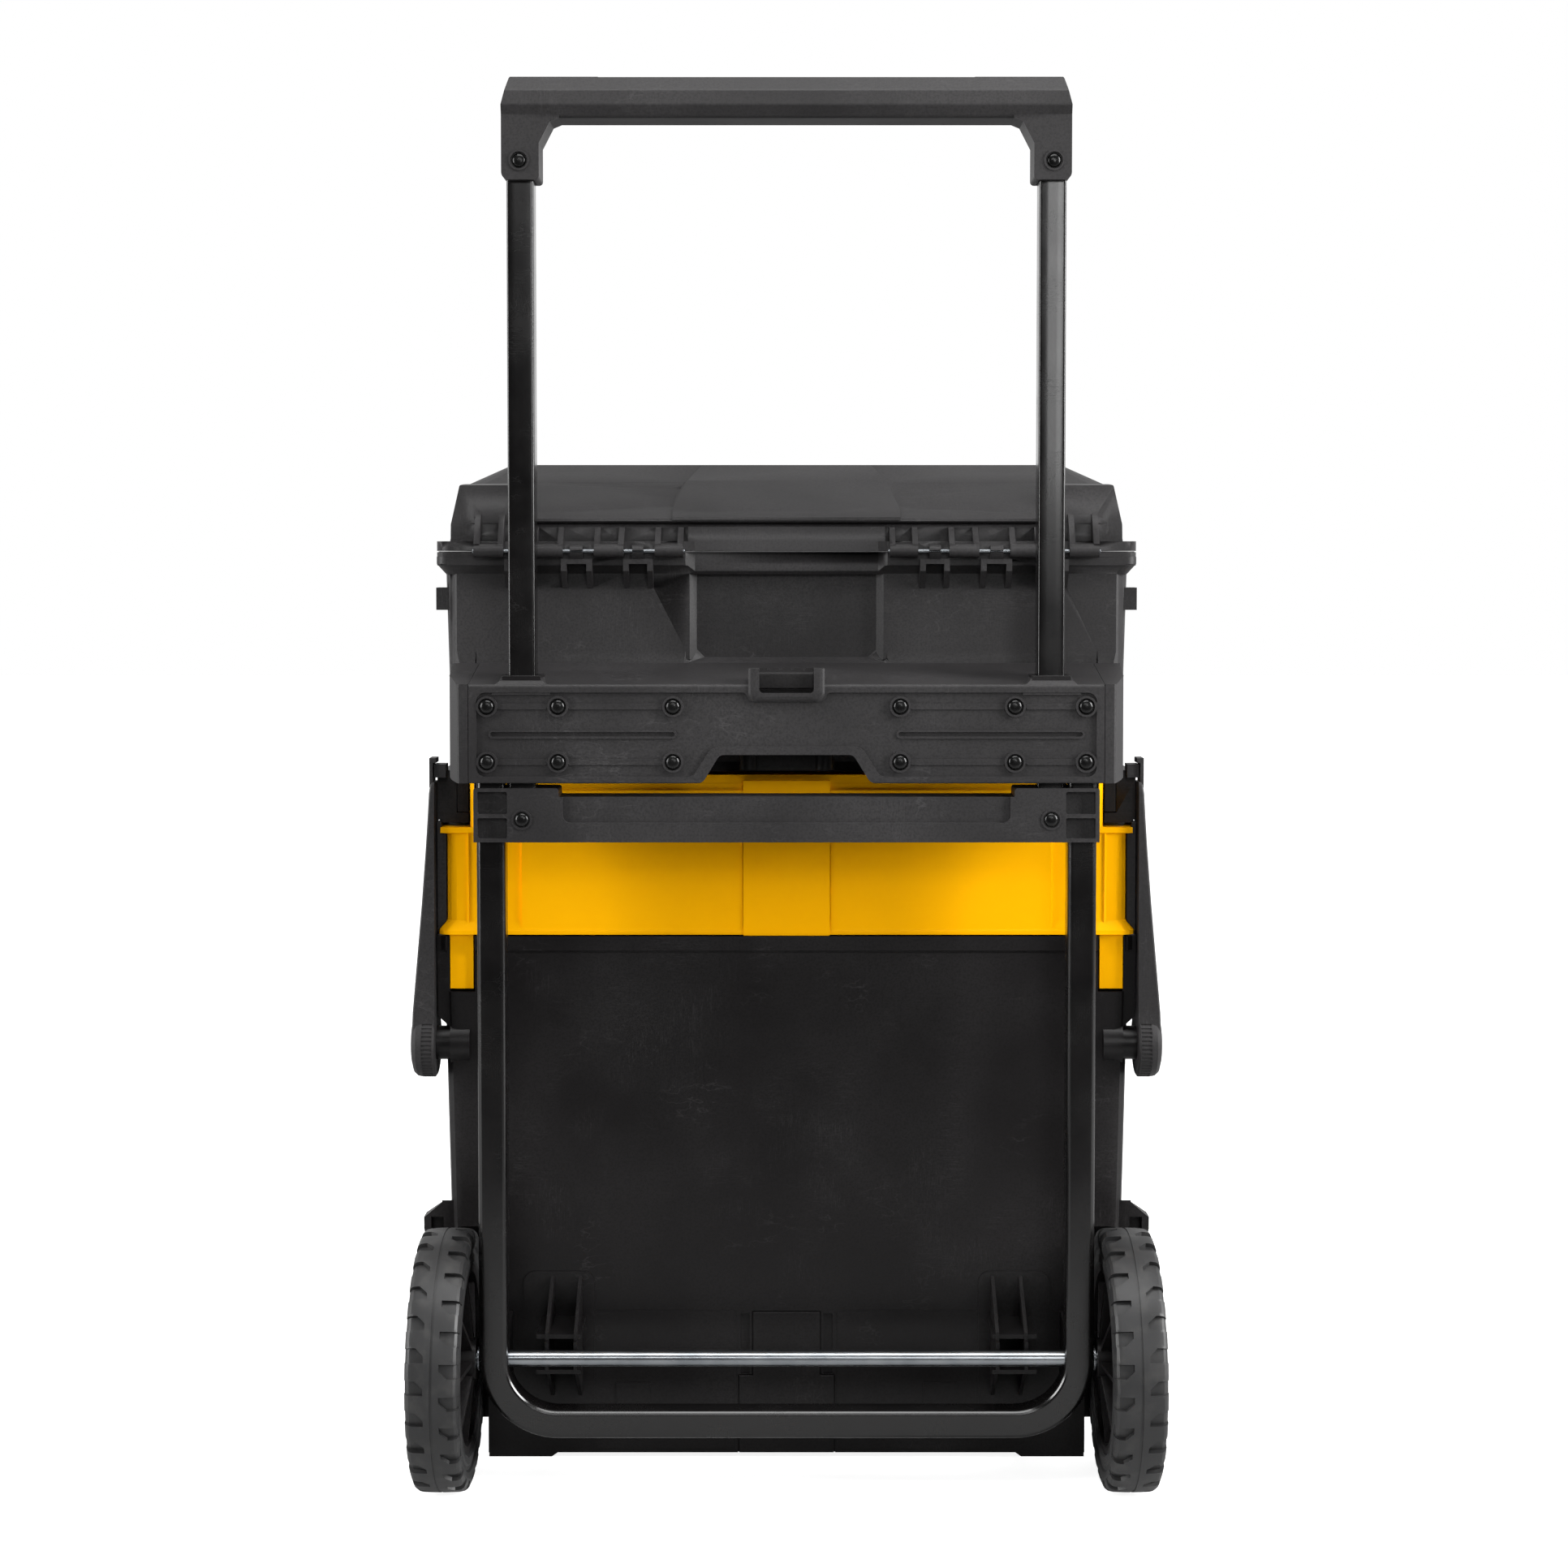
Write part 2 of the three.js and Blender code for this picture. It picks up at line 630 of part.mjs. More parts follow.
function handleGrip() {
  const g = GRIP;
  const bar = [
    [118, g.top, 3],
    [140, g.top, 4],
    [149, g.top - 9, 3],
    [149, g.barLow + 8, 3],
    [141, g.barLow, 3],
    [117, g.barLow, 3],
    [109, g.barLow + 8, 3],
    [109, g.top - 9, 3],
  ];
  const face = [
    [g.inner, g.bottom, 2],
    [g.x, g.bottom, 4],
    [g.x, g.top - 22],
    [g.x - 5, g.top],
    [150, g.top],
    [150, g.barLow + 6],
    [g.inner - 9, g.barLow + 1],
    [g.inner, g.barLow - 17],
  ];
  const collar = prismY(face, g.front, g.rear, 3);
  const trim = prismY([[g.x + 2, g.top - 22], [g.x + 2, g.top + 2], [g.x - 5.4, g.top + 2], [g.x, g.top - 22]], 100, 160);
  const slot = UPRIGHT.width / 2 + GAP;
  const socket = block(UPRIGHT.x - slot, UPRIGHT.x + slot, TUBE_FRONT - GAP, TUBE_REAR + GAP, 900, UPRIGHT.top + GAP);
  return cut(
    join(prismX(bar, -g.x, g.x, 2), both(collar.intersect(prismX([[105, 890], [155, 890], [155, g.top - 9], [140, g.top], [118, g.top], [105, g.top - 9]], 140, 200)))),
    both(trim),
    both(socket),
    both(rodY(RIVET.shank + GAP, UPRIGHT.x, 138, 150, UPRIGHT.rivet)),
    both(rodY(RIVET.head + 1.4, UPRIGHT.x, g.rear - 0.8, 150, UPRIGHT.rivet, 20)),
  );
}

part("crossbar", crossbar(), plastic);
pair("upright", upright(), paintedSteel);
part("handle_grip", handleGrip(), plastic);
pair("guide_bush", guideBush(), darkPlastic);
pair("grip_rivet", rivet(UPRIGHT.x, GRIP.rear - 0.5, UPRIGHT.rivet, 6.5), rivetSteel);
pair("crossbar_rivet", rivet(UPRIGHT.x, CROSSBAR.rear - 0.5, 466.5, 7), rivetSteel);

function releaseButton() {
  const rear = BRACKET.rear - 2.5;
  const face = prismX([[rear - 9, 556], [rear, 556, 1], [rear, 567, 2], [rear - 9, 570]], -20.6, 20.6, 2);
  const grooves = [-12, -4, 4, 12].map((x) => block(x - 1, x + 1, rear - 10, rear - 1.5, 568, 572));
  return cut(face, ...grooves);
}

part("release_button", releaseButton(), darkPlastic);

// ---------------------------------------------------------------- slide collar and ball slides

function slideCollar() {
  const c = COLLAR;
  const outside = join(
    tub(
      [
        [c.bottom, c.x + 5.5, c.front - 4, c.rear + 3],
        [c.bottom + 3, c.x + 5.5, c.front - 4, c.rear + 3],
        [c.bottom + 10, c.x, c.front, c.rear],
        [c.step - 4, c.x, c.front, c.rear],
      ],
      8,
    ),
    tub([[c.step - 4.5, c.x + 3.5, c.front - 1, c.rear], [c.step, c.x + 3.5, c.front - 1, c.rear]], 6),
    tub([[c.step - 1, c.slideX, c.front, c.rear], [c.top, c.slideX, c.front, c.rear]], 6),
    both(block(LEG.x0, LEG.x1, LEG.front, c.rear, LEG.bottom, c.bottom + 5)),
    block(-180, -31.4, c.rear - 1, c.rear + 2.5, c.bottom + 1, c.top - 6),
    block(31.4, 180, c.rear - 1, c.rear + 2.5, c.bottom + 1, c.top - 6),
  );
  return cut(
    outside,
    tub(
      [
        [c.bottom - 1, c.x - WALL, c.front + WALL, c.rear - WALL],
        [c.step - WALL, c.x - WALL, c.front + WALL, c.rear - WALL],
        [c.step - WALL + 0.01, c.slideX - WALL, c.front + WALL, c.rear - WALL],
        [c.top + 1, c.slideX - WALL, c.front + WALL, c.rear - WALL],
      ],
      5,
    ),
  );
}

// A bent steel plate that ties a frame leg to the collar's rear wall, under the bracket.
function frameTie() {
  const y = COLLAR.rear + GAP;
  return cut(
    join(
      block(190, 222, y, y + 3, 461, 522),
      block(196, 209, y, TUBE_FRONT - GAP, 497, 500),
      block(196, 209, TUBE_FRONT - GAP - 3, TUBE_FRONT - GAP, 497, 540),
    ),
    rodY(2.5, 216, y - 1, y + 4, 472),
    rodY(2.5, 216, y - 1, y + 4, 510),
  );
}

const SLIDE = { front: -195, rear: 55, low: 464, high: 488 };

// A C-shaped steel rail: its back is a plate, and its lips point towards the other rail.
function rail(back, lip, low, high) {
  const t = Math.sign(lip - back) * 1.4;
  const points = [
    [back, low],
    [lip, low],
    [lip, low + 1.4],
    [back + t, low + 1.4],
    [back + t, high - 1.4],
    [lip, high - 1.4],
    [lip, high],
    [back, high],
  ];
  return prismY(points, SLIDE.front, SLIDE.rear);
}

part("slide_collar", slideCollar(), yellow);
pair("frame_tie", frameTie(), paintedSteel);
pair("fixed_rail", rail(COLLAR.slideX + GAP, 235, SLIDE.low, SLIDE.high), zinc);

// ---------------------------------------------------------------- tool box and lid

const LID_KNUCKLES = [[73, 93], [115, 136], [158, 180], [200, 221]];
const BOX_KNUCKLES = [[101, 109], [144, 153], [186, 193]];
const RUNNER = { x0: 227.5, x1: 246.5, bottom: 456, rear: 62, front: -204 };
const CATCH = { x: 250.8, y0: 57, y1: 71, z0: 489, z1: 498.5 };
const LATCH = { x: 150, half: 25, y: -214.5, z: 664, bottom: 604 };

function boxKnuckle([x0, x1]) {
  const y = HINGE.y;
  const web = prismX([[66, 637], [y + 2, 645.2], [y + HINGE.r, HINGE.z - 1], [y, HINGE.z], [66, 645]], x0, x1);
  const gussets = [x0 - 6.5, x1 + 2.5].map((x) =>
    prismX([[62, 624], [68, 624], [y + 1, 636], [y + 1, 644.5], [62, 644.5]], x, x + 4),
  );
  const base = block(x0 - 6.5, x1 + 6.5, 66, y + 1, 641, 644.5);
  return join(rodX(HINGE.r, x0, x1, y, HINGE.z, 16), web, base, ...gussets);
}

function toolBox() {
  const b = BOX;
  const outside = join(
    tub(
      [
        [b.bottom, b.x - 5, b.front + 8, b.rear - 6],
        [b.rim - 13, b.x - 1, b.front, b.rear - 6],
        [b.rim - 10, b.rimX, b.rimFront, b.rimRear],
        [b.rim - GAP / 2, b.rimX, b.rimFront, b.rimRear],
      ],
      10,
    ),
    both(rearPad()),
    both(block(RUNNER.x0, RUNNER.x1, RUNNER.front, RUNNER.rear, RUNNER.bottom, b.bottom + 1)),
    both(block(RUNNER.x1 - 4, CATCH.x, CATCH.y0, CATCH.y1, CATCH.z0, CATCH.z1)),
    both(block(b.x - 4, 250.6, 38, 56, 608, 624)),
    both(join(...BOX_KNUCKLES.map(boxKnuckle))),
  );
  const inside = tub(
    [
      [b.bottom + WALL, b.x - 5 - WALL, b.front + 8 + WALL, b.rear - 6 - WALL],
      [b.rim + 1, b.x - 1 - WALL, b.front + WALL, b.rear - 6 - WALL],
    ],
    8,
  );
  return cut(
    outside,
    inside,
    both(block(RUNNER.x0 - 2, 241.3, RUNNER.front - 5, RUNNER.rear - 4, 460, 491)),
    both(block(RUNNER.x0 - 2, 236, RUNNER.rear - 5, RUNNER.rear + 1, SLIDE.low - 1, SLIDE.high + 1)),
    both(block(LATCH.x - LATCH.half - 2, LATCH.x + LATCH.half + 2, -230, b.front - 1.5, 600, 660)),
    both(rodX(HINGE.pin + GAP, 60, 230, HINGE.y, HINGE.z, 12)),
    both(hingeRelief()),
  );
}

// A raised panel on the rear wall, with sloping edges round the recess in the middle.
function rearPad() {
  const outer = 240;
  const inner = 70;
  const y = BOX.rear - 7;
  const wide = prismY([[inner - 6, 566], [outer, 566], [outer, 640], [inner - 6, 640]], y - 3, BOX.rear);
  const slope = prismZ([[inner - 8, y], [inner - 8, BOX.rear + 1], [inner, BOX.rear + 1]], 560, 645);
  const corner = prismZ([[outer - 8, BOX.rear + 1], [outer + 1, BOX.rear + 1], [outer + 1, y - 1]], 560, 645);
  const low = prismX([[y - 4, 565], [BOX.rear + 1, 565], [BOX.rear + 1, 574], [y - 1, 567]], 50, 250);
  return cut(wide, slope, corner, low);
}

// Room in the rim for the lid's hinge barrels to turn.
function hingeRelief() {
  const clear = HINGE.r + 0.8;
  return join(...LID_KNUCKLES.map(([x0, x1]) => rodX(clear, x0 - 0.8, x1 + 0.8, HINGE.y, HINGE.z, 20)));
}

function lidKnuckle([x0, x1], i) {
  const y = HINGE.y;
  const high = i === LID_KNUCKLES.length - 1 ? 676 : 667;
  const web = prismX([[66, HINGE.z + 1], [y - 4, HINGE.z + 1], [y, HINGE.z - 0.5], [y + HINGE.r, HINGE.z], [y + 2.5, 655], [66, 657]], x0, x1);
  const ribs = [x0, x1 - 4].map((x) =>
    prismX([[60, 651], [y + 3, 651], [y + 3, 655], [69, high - 3], [66, high], [60, high]], x, x + 4),
  );
  return join(rodX(HINGE.r, x0, x1, y, HINGE.z, 16), web, ...ribs);
}

const POCKET_LID = { x: 78, front: -122, rear: -34, floor: 689 };
const BAIL = { x: 66, y: -48, z: 701, r: 7, front: -112, pin: 3.2 };

function lid() {
  const b = BOX;
  const low = b.rim + GAP / 2;
  const levels = (inset, drop) => [
    [LID.skirt - drop, 241 - inset, -206 + inset, 64 - inset],
    [LID.ridge - drop, 238.5 - inset, -205 + inset, 64 - inset],
    [698 - drop, 232.5 - inset, -188 + inset, 30 - inset],
    [LID.top - drop, 203 - inset, -168 + inset, 6 - inset],
  ];
  const shell = cut(
    join(
      tub([[low, b.rimX, b.rimFront, b.rimRear], [LID.skirt, b.rimX, b.rimFront, b.rimRear]], 10),
      tub(levels(0, 0.5).map(([z, ...rest]) => [z + 0.5, ...rest]), 12),
    ),
    tub([[low - 1, 238, -203, 61], ...levels(WALL, WALL)], 9),
  );
  const p = POCKET_LID;
  const pocket = block(-p.x - WALL, p.x + WALL, p.front - WALL, p.rear + WALL, p.floor - WALL, LID.top - 1);
  const ears = [LATCH.x - LATCH.half - 4.5, LATCH.x + LATCH.half + 0.5].map((x) =>
    prismX([[-208, 655], [-213, 655], [LATCH.y - 4, 660], [LATCH.y - 4.5, 666], [-213, 670], [-203, 674]], x, x + 4),
  );
  return cut(
    join(shell, pocket, both(join(...LID_KNUCKLES.map(lidKnuckle))), both(join(...ears))),
    block(-p.x, p.x, p.front, p.rear, p.floor, LID.top + 5),
    both(rodX(BAIL.pin + GAP, p.x - 1, p.x + 2, BAIL.y, BAIL.z, 16)),
    both(block(LATCH.x - LATCH.half - 0.5, LATCH.x + LATCH.half + 0.5, -230, b.front - 0.5, 645, 676)),
    both(rodX(HINGE.pin + GAP, 60, 230, HINGE.y, HINGE.z, 12)),
    both(rodX(2.2, LATCH.x - LATCH.half - 10, LATCH.x + LATCH.half + 10, LATCH.y, LATCH.z, 12)),
    both(boxKnuckleRelief()),
  );
}

// Room in the lid's rim for the box's hinge barrels and their gussets.
function boxKnuckleRelief() {
  return join(
    ...BOX_KNUCKLES.map(([x0, x1]) => rodX(HINGE.r + 0.8, x0 - 1, x1 + 1, HINGE.y, HINGE.z, 20)),
  );
}

function lidLatch() {
  const { x, half, y, z, bottom } = LATCH;
  const plate = [
    [y + 4, z - 2],
    [y + 4, z - 50, 3],
    [y + 1, bottom + 4, 2],
    [FRONT + 0.3, bottom, 1],
    [FRONT + 0.3, bottom + 6, 2],
    [y - 3.5, z - 46, 3],
    [y - 3.5, z - 4, 1],
  ];
  const barrel = rodX(4.4, x - half, x + half, y, z, 16);
  const dish = prismY([[x - 17, z - 42, 3], [x + 17, z - 42, 3], [x + 17, z - 12, 3], [x - 17, z - 12, 3]], y - 4, y - 2.3, 2);
  return cut(join(prismX(plate, x - half, x + half, 2), barrel), rodX(2.2, x - 40, x + 40, y, z, 12), dish);
}

function carryHandle() {
  const { x, y, z, r, front, pin } = BAIL;
  const plan = [
    [-x - r, y],
    [-x - r, front, 12],
    [x + r, front, 12],
    [x + r, y],
    [x - r, y],
    [x - r, front + 19, 5],
    [-x + r, front + 19, 5],
    [-x + r, y],
  ];
  const bow = prismZ(plan, z - r, z + r, 3);
  return join(bow, both(rodX(r, x - r, x + r, y, z, 20)), both(rodX(pin, x, POCKET_LID.x + 1.5, y, z, 16)));
}

part("tool_box", toolBox(), plastic);
part("lid", lid(), plastic);
pair("hinge_pin", rodX(HINGE.pin, 72, 222, HINGE.y, HINGE.z, 12), zinc);
pair("sliding_rail", rail(241, 236, SLIDE.low + 2.5, SLIDE.high - 2.5), zinc);
pair("lid_latch", lidLatch(), yellow);
pair("latch_pin", rodX(1.8, LATCH.x - 29, LATCH.x + 29, LATCH.y, LATCH.z, 12), zinc);
part("carry_handle", carryHandle(), darkPlastic);

// ---------------------------------------------------------------- side latches

const ARM = { inner: 250.2, outer: 268.5, hookInner: 251.5, topOuter: 254, top: 503, lip: 499.5, lipInner: 249.2 };

function sideLatch() {
  const { y, z, r, hub } = PIVOT;
  const profile = [
    [y - 14, z - 10],
    [y + 14, z - 10],
    [y + 22, z + 20, 20],
    [y + 16, z + 110, 60],
    [y + 15, ARM.top, 4],
    [y - 11, ARM.top, 4],
    [y - 13, z + 110, 60],
    [y - 20, z + 20, 20],
  ];
  const front = [
    [ARM.inner, z - hub - 2],
    [ARM.outer - 2, z - hub - 2, 4],
    [ARM.outer - 1, z + 14, 30],
    [ARM.topOuter, 478, 30],
    [ARM.topOuter, ARM.top],
    [ARM.lipInner, ARM.top],
    [ARM.lipInner, ARM.lip],
    [ARM.hookInner, ARM.lip],
    [ARM.hookInner, 486.5],
    [ARM.inner, 486.5],
  ];
  const lever = prismX(profile, 249, 272, 4).intersect(prismY(front, y - 40, y + 40, 4));
  const boss = rodX(hub, ARM.inner, ARM.outer - 2, y, z, 32);
  const grooves = Array.from({ length: 13 }, (_, k) => {
    const angle = -1.9 + k * 0.2;
    return rodX(1, ARM.inner + 3, ARM.outer - 5, y + (hub + 0.3) * Math.cos(angle), z + (hub + 0.3) * Math.sin(angle), 6);
  });
  return cut(join(lever, boss), rodX(r + GAP + 0.1, ARM.inner - 1, 264, y, z, 24), ...grooves);
}

pair("side_latch", sideLatch(), plastic);

export default toolbox;
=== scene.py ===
"""A rolling tool box seen from behind: fine pieces over the CAD model, their looks and a studio."""

import json
import math

import bmesh
import bpy
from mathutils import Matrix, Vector


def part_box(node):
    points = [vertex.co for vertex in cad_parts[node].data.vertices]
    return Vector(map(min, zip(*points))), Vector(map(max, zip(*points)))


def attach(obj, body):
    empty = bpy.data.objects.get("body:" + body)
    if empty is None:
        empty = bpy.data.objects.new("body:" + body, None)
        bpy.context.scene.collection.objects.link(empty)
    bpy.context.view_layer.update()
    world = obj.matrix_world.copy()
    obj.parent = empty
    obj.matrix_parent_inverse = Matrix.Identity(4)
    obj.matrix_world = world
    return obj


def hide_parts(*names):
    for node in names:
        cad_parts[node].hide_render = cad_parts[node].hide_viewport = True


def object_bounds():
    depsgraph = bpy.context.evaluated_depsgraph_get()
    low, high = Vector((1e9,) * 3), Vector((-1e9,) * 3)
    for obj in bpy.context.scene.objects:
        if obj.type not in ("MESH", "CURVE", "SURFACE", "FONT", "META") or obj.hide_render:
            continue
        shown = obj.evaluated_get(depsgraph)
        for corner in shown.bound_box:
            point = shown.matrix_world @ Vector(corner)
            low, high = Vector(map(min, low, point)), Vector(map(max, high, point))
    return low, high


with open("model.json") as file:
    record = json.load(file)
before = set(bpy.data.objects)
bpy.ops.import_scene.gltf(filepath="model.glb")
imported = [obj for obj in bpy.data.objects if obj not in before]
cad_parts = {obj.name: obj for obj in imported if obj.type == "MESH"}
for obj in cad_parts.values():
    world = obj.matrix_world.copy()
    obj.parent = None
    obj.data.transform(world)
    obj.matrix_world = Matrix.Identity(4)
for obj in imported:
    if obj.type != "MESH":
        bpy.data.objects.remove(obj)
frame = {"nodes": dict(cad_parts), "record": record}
cad_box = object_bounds()

MM = 0.001
LOW, HIGH = cad_box

JOIN_DISTANCE = 2e-6  # points closer than this, in metres, are one point
FLAT_ANGLE = 0.5  # faces that turn less than this, in degrees, are one flat face
CAD_FLAT_ANGLE = 0.6
SHARP_ANGLE = 14.0  # edges that turn more than this, but are not rounded, shade sharp
ROUND_ANGLE = 28.0  # edges that turn more than this are rounded
CAD_ROUNDING = 0.0004  # rounding of the pieces that keep their CAD shape, in metres


# ------------------------------------------------------------------ camera, light and floor


def make_camera():
    """Stands behind the tool box, a little above its middle, and looks slightly down."""
    distance, height, pitch = 1.722, 0.648, 2.5
    data = bpy.data.cameras.new("camera")
    data.sensor_width = 36.0
    data.lens = 60.52
    data.shift_x = -0.0016
    data.shift_y = -0.0733
    data.clip_end = 20.0
    camera = bpy.data.objects.new("camera", data)
    bpy.context.collection.objects.link(camera)
    camera.location = (0.0, HIGH.y + distance, height)
    camera.rotation_euler = (math.radians(90 - pitch), 0.0, math.radians(180))
    bpy.context.scene.camera = camera


def area_light(name, place, target, size, power):
    """A white soft box at a place in metres, turned to its target."""
    data = bpy.data.lights.new(name, "AREA")
    data.shape = "RECTANGLE"
    data.size, data.size_y = size
    data.energy = power
    light = bpy.data.objects.new(name, data)
    bpy.context.collection.objects.link(light)
    light.location = place
    light.rotation_euler = (Vector(target) - Vector(place)).to_track_quat("-Z", "Y").to_euler()


def make_lights():
    """Soft boxes at both sides, above, and behind the camera."""
    area_light("key_right", (-2.2, 0.85, 1.3), (0, 0.1, 0.55), (0.8, 1.5), 120)
    area_light("key_left", (2.2, 0.85, 1.0), (0, 0.1, 0.5), (0.8, 1.5), 62)
    area_light("top", (-0.1, 0.75, 2.4), (0, 0, 0.4), (1.6, 0.9), 38)
    area_light("fill", (0.1, 2.9, 1.7), (0, 0.1, 0.5), (1.2, 0.5), 11)
    area_light("window", (-0.62, 2.7, 1.12), (-0.2, 0.1, 0.75), (0.4, 0.75), 9.0)


def make_world():
    """A white backdrop behind the object, which fades to a dark room behind the camera."""
    world = bpy.data.worlds.new("studio")
    world.use_nodes = True
    tree = world.node_tree
    background = tree.nodes["Background"]
    background.inputs["Color"].default_value = (1.0, 1.0, 1.0, 1.0)
    towards = tree.nodes.new("ShaderNodeTexCoord")
    split = tree.nodes.new("ShaderNodeSeparateXYZ")
    backdrop = tree.nodes.new("ShaderNodeMapRange")
    backdrop.interpolation_type = "SMOOTHSTEP"
    fade = {"From Min": -0.35, "From Max": 0.25, "To Min": 1.0, "To Max": 0.05}
    for socket, value in fade.items():
        backdrop.inputs[socket].default_value = value
    path = tree.nodes.new("ShaderNodeLightPath")
    strength = tree.nodes.new("ShaderNodeMapRange")
    strength.inputs["To Max"].default_value = 1.0
    tree.links.new(towards.outputs["Generated"], split.inputs[0])
    tree.links.new(split.outputs["Y"], backdrop.inputs["Value"])
    tree.links.new(backdrop.outputs[0], strength.inputs["To Min"])
    tree.links.new(path.outputs["Is Camera Ray"], strength.inputs["Value"])
    tree.links.new(strength.outputs[0], background.inputs["Strength"])
    bpy.context.scene.world = world
    bpy.context.scene.view_settings.view_transform = "Standard"


def make_floor():
    """A plain white floor that glows for the camera. Its glow dims a little round the object as a
    painted shadow, added to the real shadow that falls on its grey base colour.
    """
    edge, gap = 12.0, 0.0003
    mesh = bpy.data.meshes.new("floor")
    corners = [(-edge, -edge, 0), (edge, -edge, 0), (edge, edge, 0), (-edge, edge, 0)]
    mesh.from_pydata(corners, [], [(0, 1, 2, 3)])
    floor = bpy.data.objects.new("floor", mesh)
    floor.location.z = LOW.z - gap
    bpy.context.collection.objects.link(floor)
    look = Look("floor", Base_Color=(0.42, 0.42, 0.42, 1.0), Roughness=0.9)
    look.shader.inputs["Emission Color"].default_value = (1.0, 1.0, 1.0, 1.0)
    length = look.node("ShaderNodeVectorMath", {0: look.place}, operation="LENGTH")
    distance = length.outputs["Value"]
    fade = {"From Min": 0.35, "From Max": 1.6, "To Min": 0.86, "To Max": 1.0}
    # painted shadow: the glow that the camera sees is 0.86 near the object and rises to full beyond 1.6
    # m
    white = look.node("ShaderNodeMapRange", {"Value": distance, **fade}).outputs[0]
    seen = look.node("ShaderNodeLightPath").outputs["Is Camera Ray"]
    look.drive("Emission Strength", look.math("MULTIPLY", white, seen))
    # base colour: grey near the object and nearly black towards the camera, where the object's glossy
    # faces reflect the floor; the camera itself sees the glow
    depth = look.node("ShaderNodeSeparateXYZ", {0: look.place}).outputs["Y"]
    pale = look.steps(look.math("MULTIPLY", depth, 0.5), (0.3, 0.42), (0.55, 0.03))
    look.drive("Base Color", pale)
    mesh.materials.append(look.material)


# ------------------------------------------------------------------ materials


class Look:
    """A procedural material, built from nodes in object space so that its grain has a real size."""

    def __init__(self, name, **values):
        self.material = bpy.data.materials.new(name)
        self.material.use_nodes = True
        self.tree = self.material.node_tree
        self.shader = self.tree.nodes["Principled BSDF"]
        for socket, value in values.items():
            self.shader.inputs[socket.replace("_", " ")].default_value = value
        self.place = self.node("ShaderNodeTexCoord").outputs["Object"]

    def node(self, kind, inputs=None, **settings):
        made = self.tree.nodes.new(kind)
        for key, value in settings.items():
            setattr(made, key, value)
        for key, value in (inputs or {}).items():
            if isinstance(value, bpy.types.NodeSocket):
                self.tree.links.new(value, made.inputs[key])
            else:
                made.inputs[key].default_value = value
        return made

    def noise(self, scale, detail=2.0, stretch=(1, 1, 1)):
        place = self.node("ShaderNodeMapping", {"Vector": self.place, "Scale": stretch}).outputs[0]
        inputs = {"Vector": place, "Scale": scale, "Detail": detail, "Roughness": 0.5}
        return self.node("ShaderNodeTexNoise", inputs).outputs["Fac"]

    def steps(self, value, *stops):
        """Maps a number through straight lines between (place, result) stops."""
        ramp = self.node("ShaderNodeValToRGB", {"Fac": value})
        points = ramp.color_ramp.elements
        while len(points) < len(stops):
            points.new(0.5)
        for point, (at, level) in zip(points, stops):
            point.position = at
            point.color = (*level, 1.0) if isinstance(level, tuple) else (level, level, level, 1.0)
        return ramp.outputs["Color"]

    def math(self, operation, a, b):
        return self.node("ShaderNodeMath", {0: a, 1: b}, operation=operation).outputs[0]

    def mix(self, factor, a, b):
        made = self.node("ShaderNodeMix", data_type="RGBA")
        for key, value in (("Factor", factor), ("A", a), ("B", b)):
            socket = next(s for s in made.inputs if s.name == key and s.enabled)
            if isinstance(value, bpy.types.NodeSocket):
                self.tree.links.new(value, socket)
            else:
                socket.default_value = (*value, 1.0) if isinstance(value, tuple) else value
        return next(s for s in made.outputs if s.enabled)

    def scratches(self, density, seed, scale=18.0):
        """Thin bright lines in three directions, as a 0 to 1 mask."""
        width = 0.02
        total = None
        for turn, stretch in ((0.3, (1, 1, 14)), (1.2, (12, 1, 1)), (2.3, (1, 12, 2))):
            turned_place = {"Rotation": (turn, turn * 2, seed + turn), "Scale": stretch}
            place = self.node("ShaderNodeMapping", {"Vector": self.place, **turned_place}).outputs[0]
            fine = {"Vector": place, "Scale": scale * 3, "Detail": 3.0}
            lines = self.node("ShaderNodeTexNoise", fine).outputs["Fac"]
            mask = self.steps(lines, (0.5 - width, 0.0), (0.5, 1.0), (0.5 + width, 0.0))
            cloud = self.noise(scale + turn * 3)
            patch = self.steps(cloud, (0.62 - density * 0.1, 0.0), (0.72, 1.0))
            both = self.math("MULTIPLY", mask, patch)
            total = both if total is None else self.math("MAXIMUM", total, both)
        return total

    def bump(self, height, distance, strength):
        inputs = {"Height": height, "Distance": distance, "Strength": strength}
        self.drive("Normal", self.node("ShaderNodeBump", inputs).outputs[0])

    def drive(self, socket, value):
        self.tree.links.new(value, self.shader.inputs[socket])


def moulded_black(name, colour, roughness, grain, grain_depth, wear):
    """Moulded black plastic: fine spark grain, faint handling marks and a soft change of gloss."""
    coarse = grain_depth > 0.00005
    look = Look(name, IOR=1.46, Specular_IOR_Level=0.3 if coarse else 0.22)
    cloud = look.noise(9.0, 3.0)
    fine = look.noise(grain, 2.0)
    light = tuple(min(1.0, c * 1.45 + 0.003) for c in colour)
    tone = look.mix(look.steps(cloud, (0.35, 0.0), (0.7, 1.0)), colour, light)
    dark = tuple(c * 0.62 for c in colour)
    specks = look.steps(look.noise(620.0, 2.0), (0.36, 0.55), (0.56, 0.0))
    tone = look.mix(specks, tone, dark)
    marks = look.scratches(density=wear, seed=0.4)
    scuffed = tuple(c * 3.2 + 0.02 for c in colour)
    look.drive("Base Color", look.mix(look.math("MULTIPLY", marks, 0.35), tone, scuffed))
    gloss = look.steps(cloud, (0.3, roughness - 0.05), (0.7, roughness + 0.07))
    look.drive("Roughness", look.math("ADD", gloss, look.math("MULTIPLY", marks, 0.12)))
    look.bump(fine, grain_depth, 0.6)
    return look.material


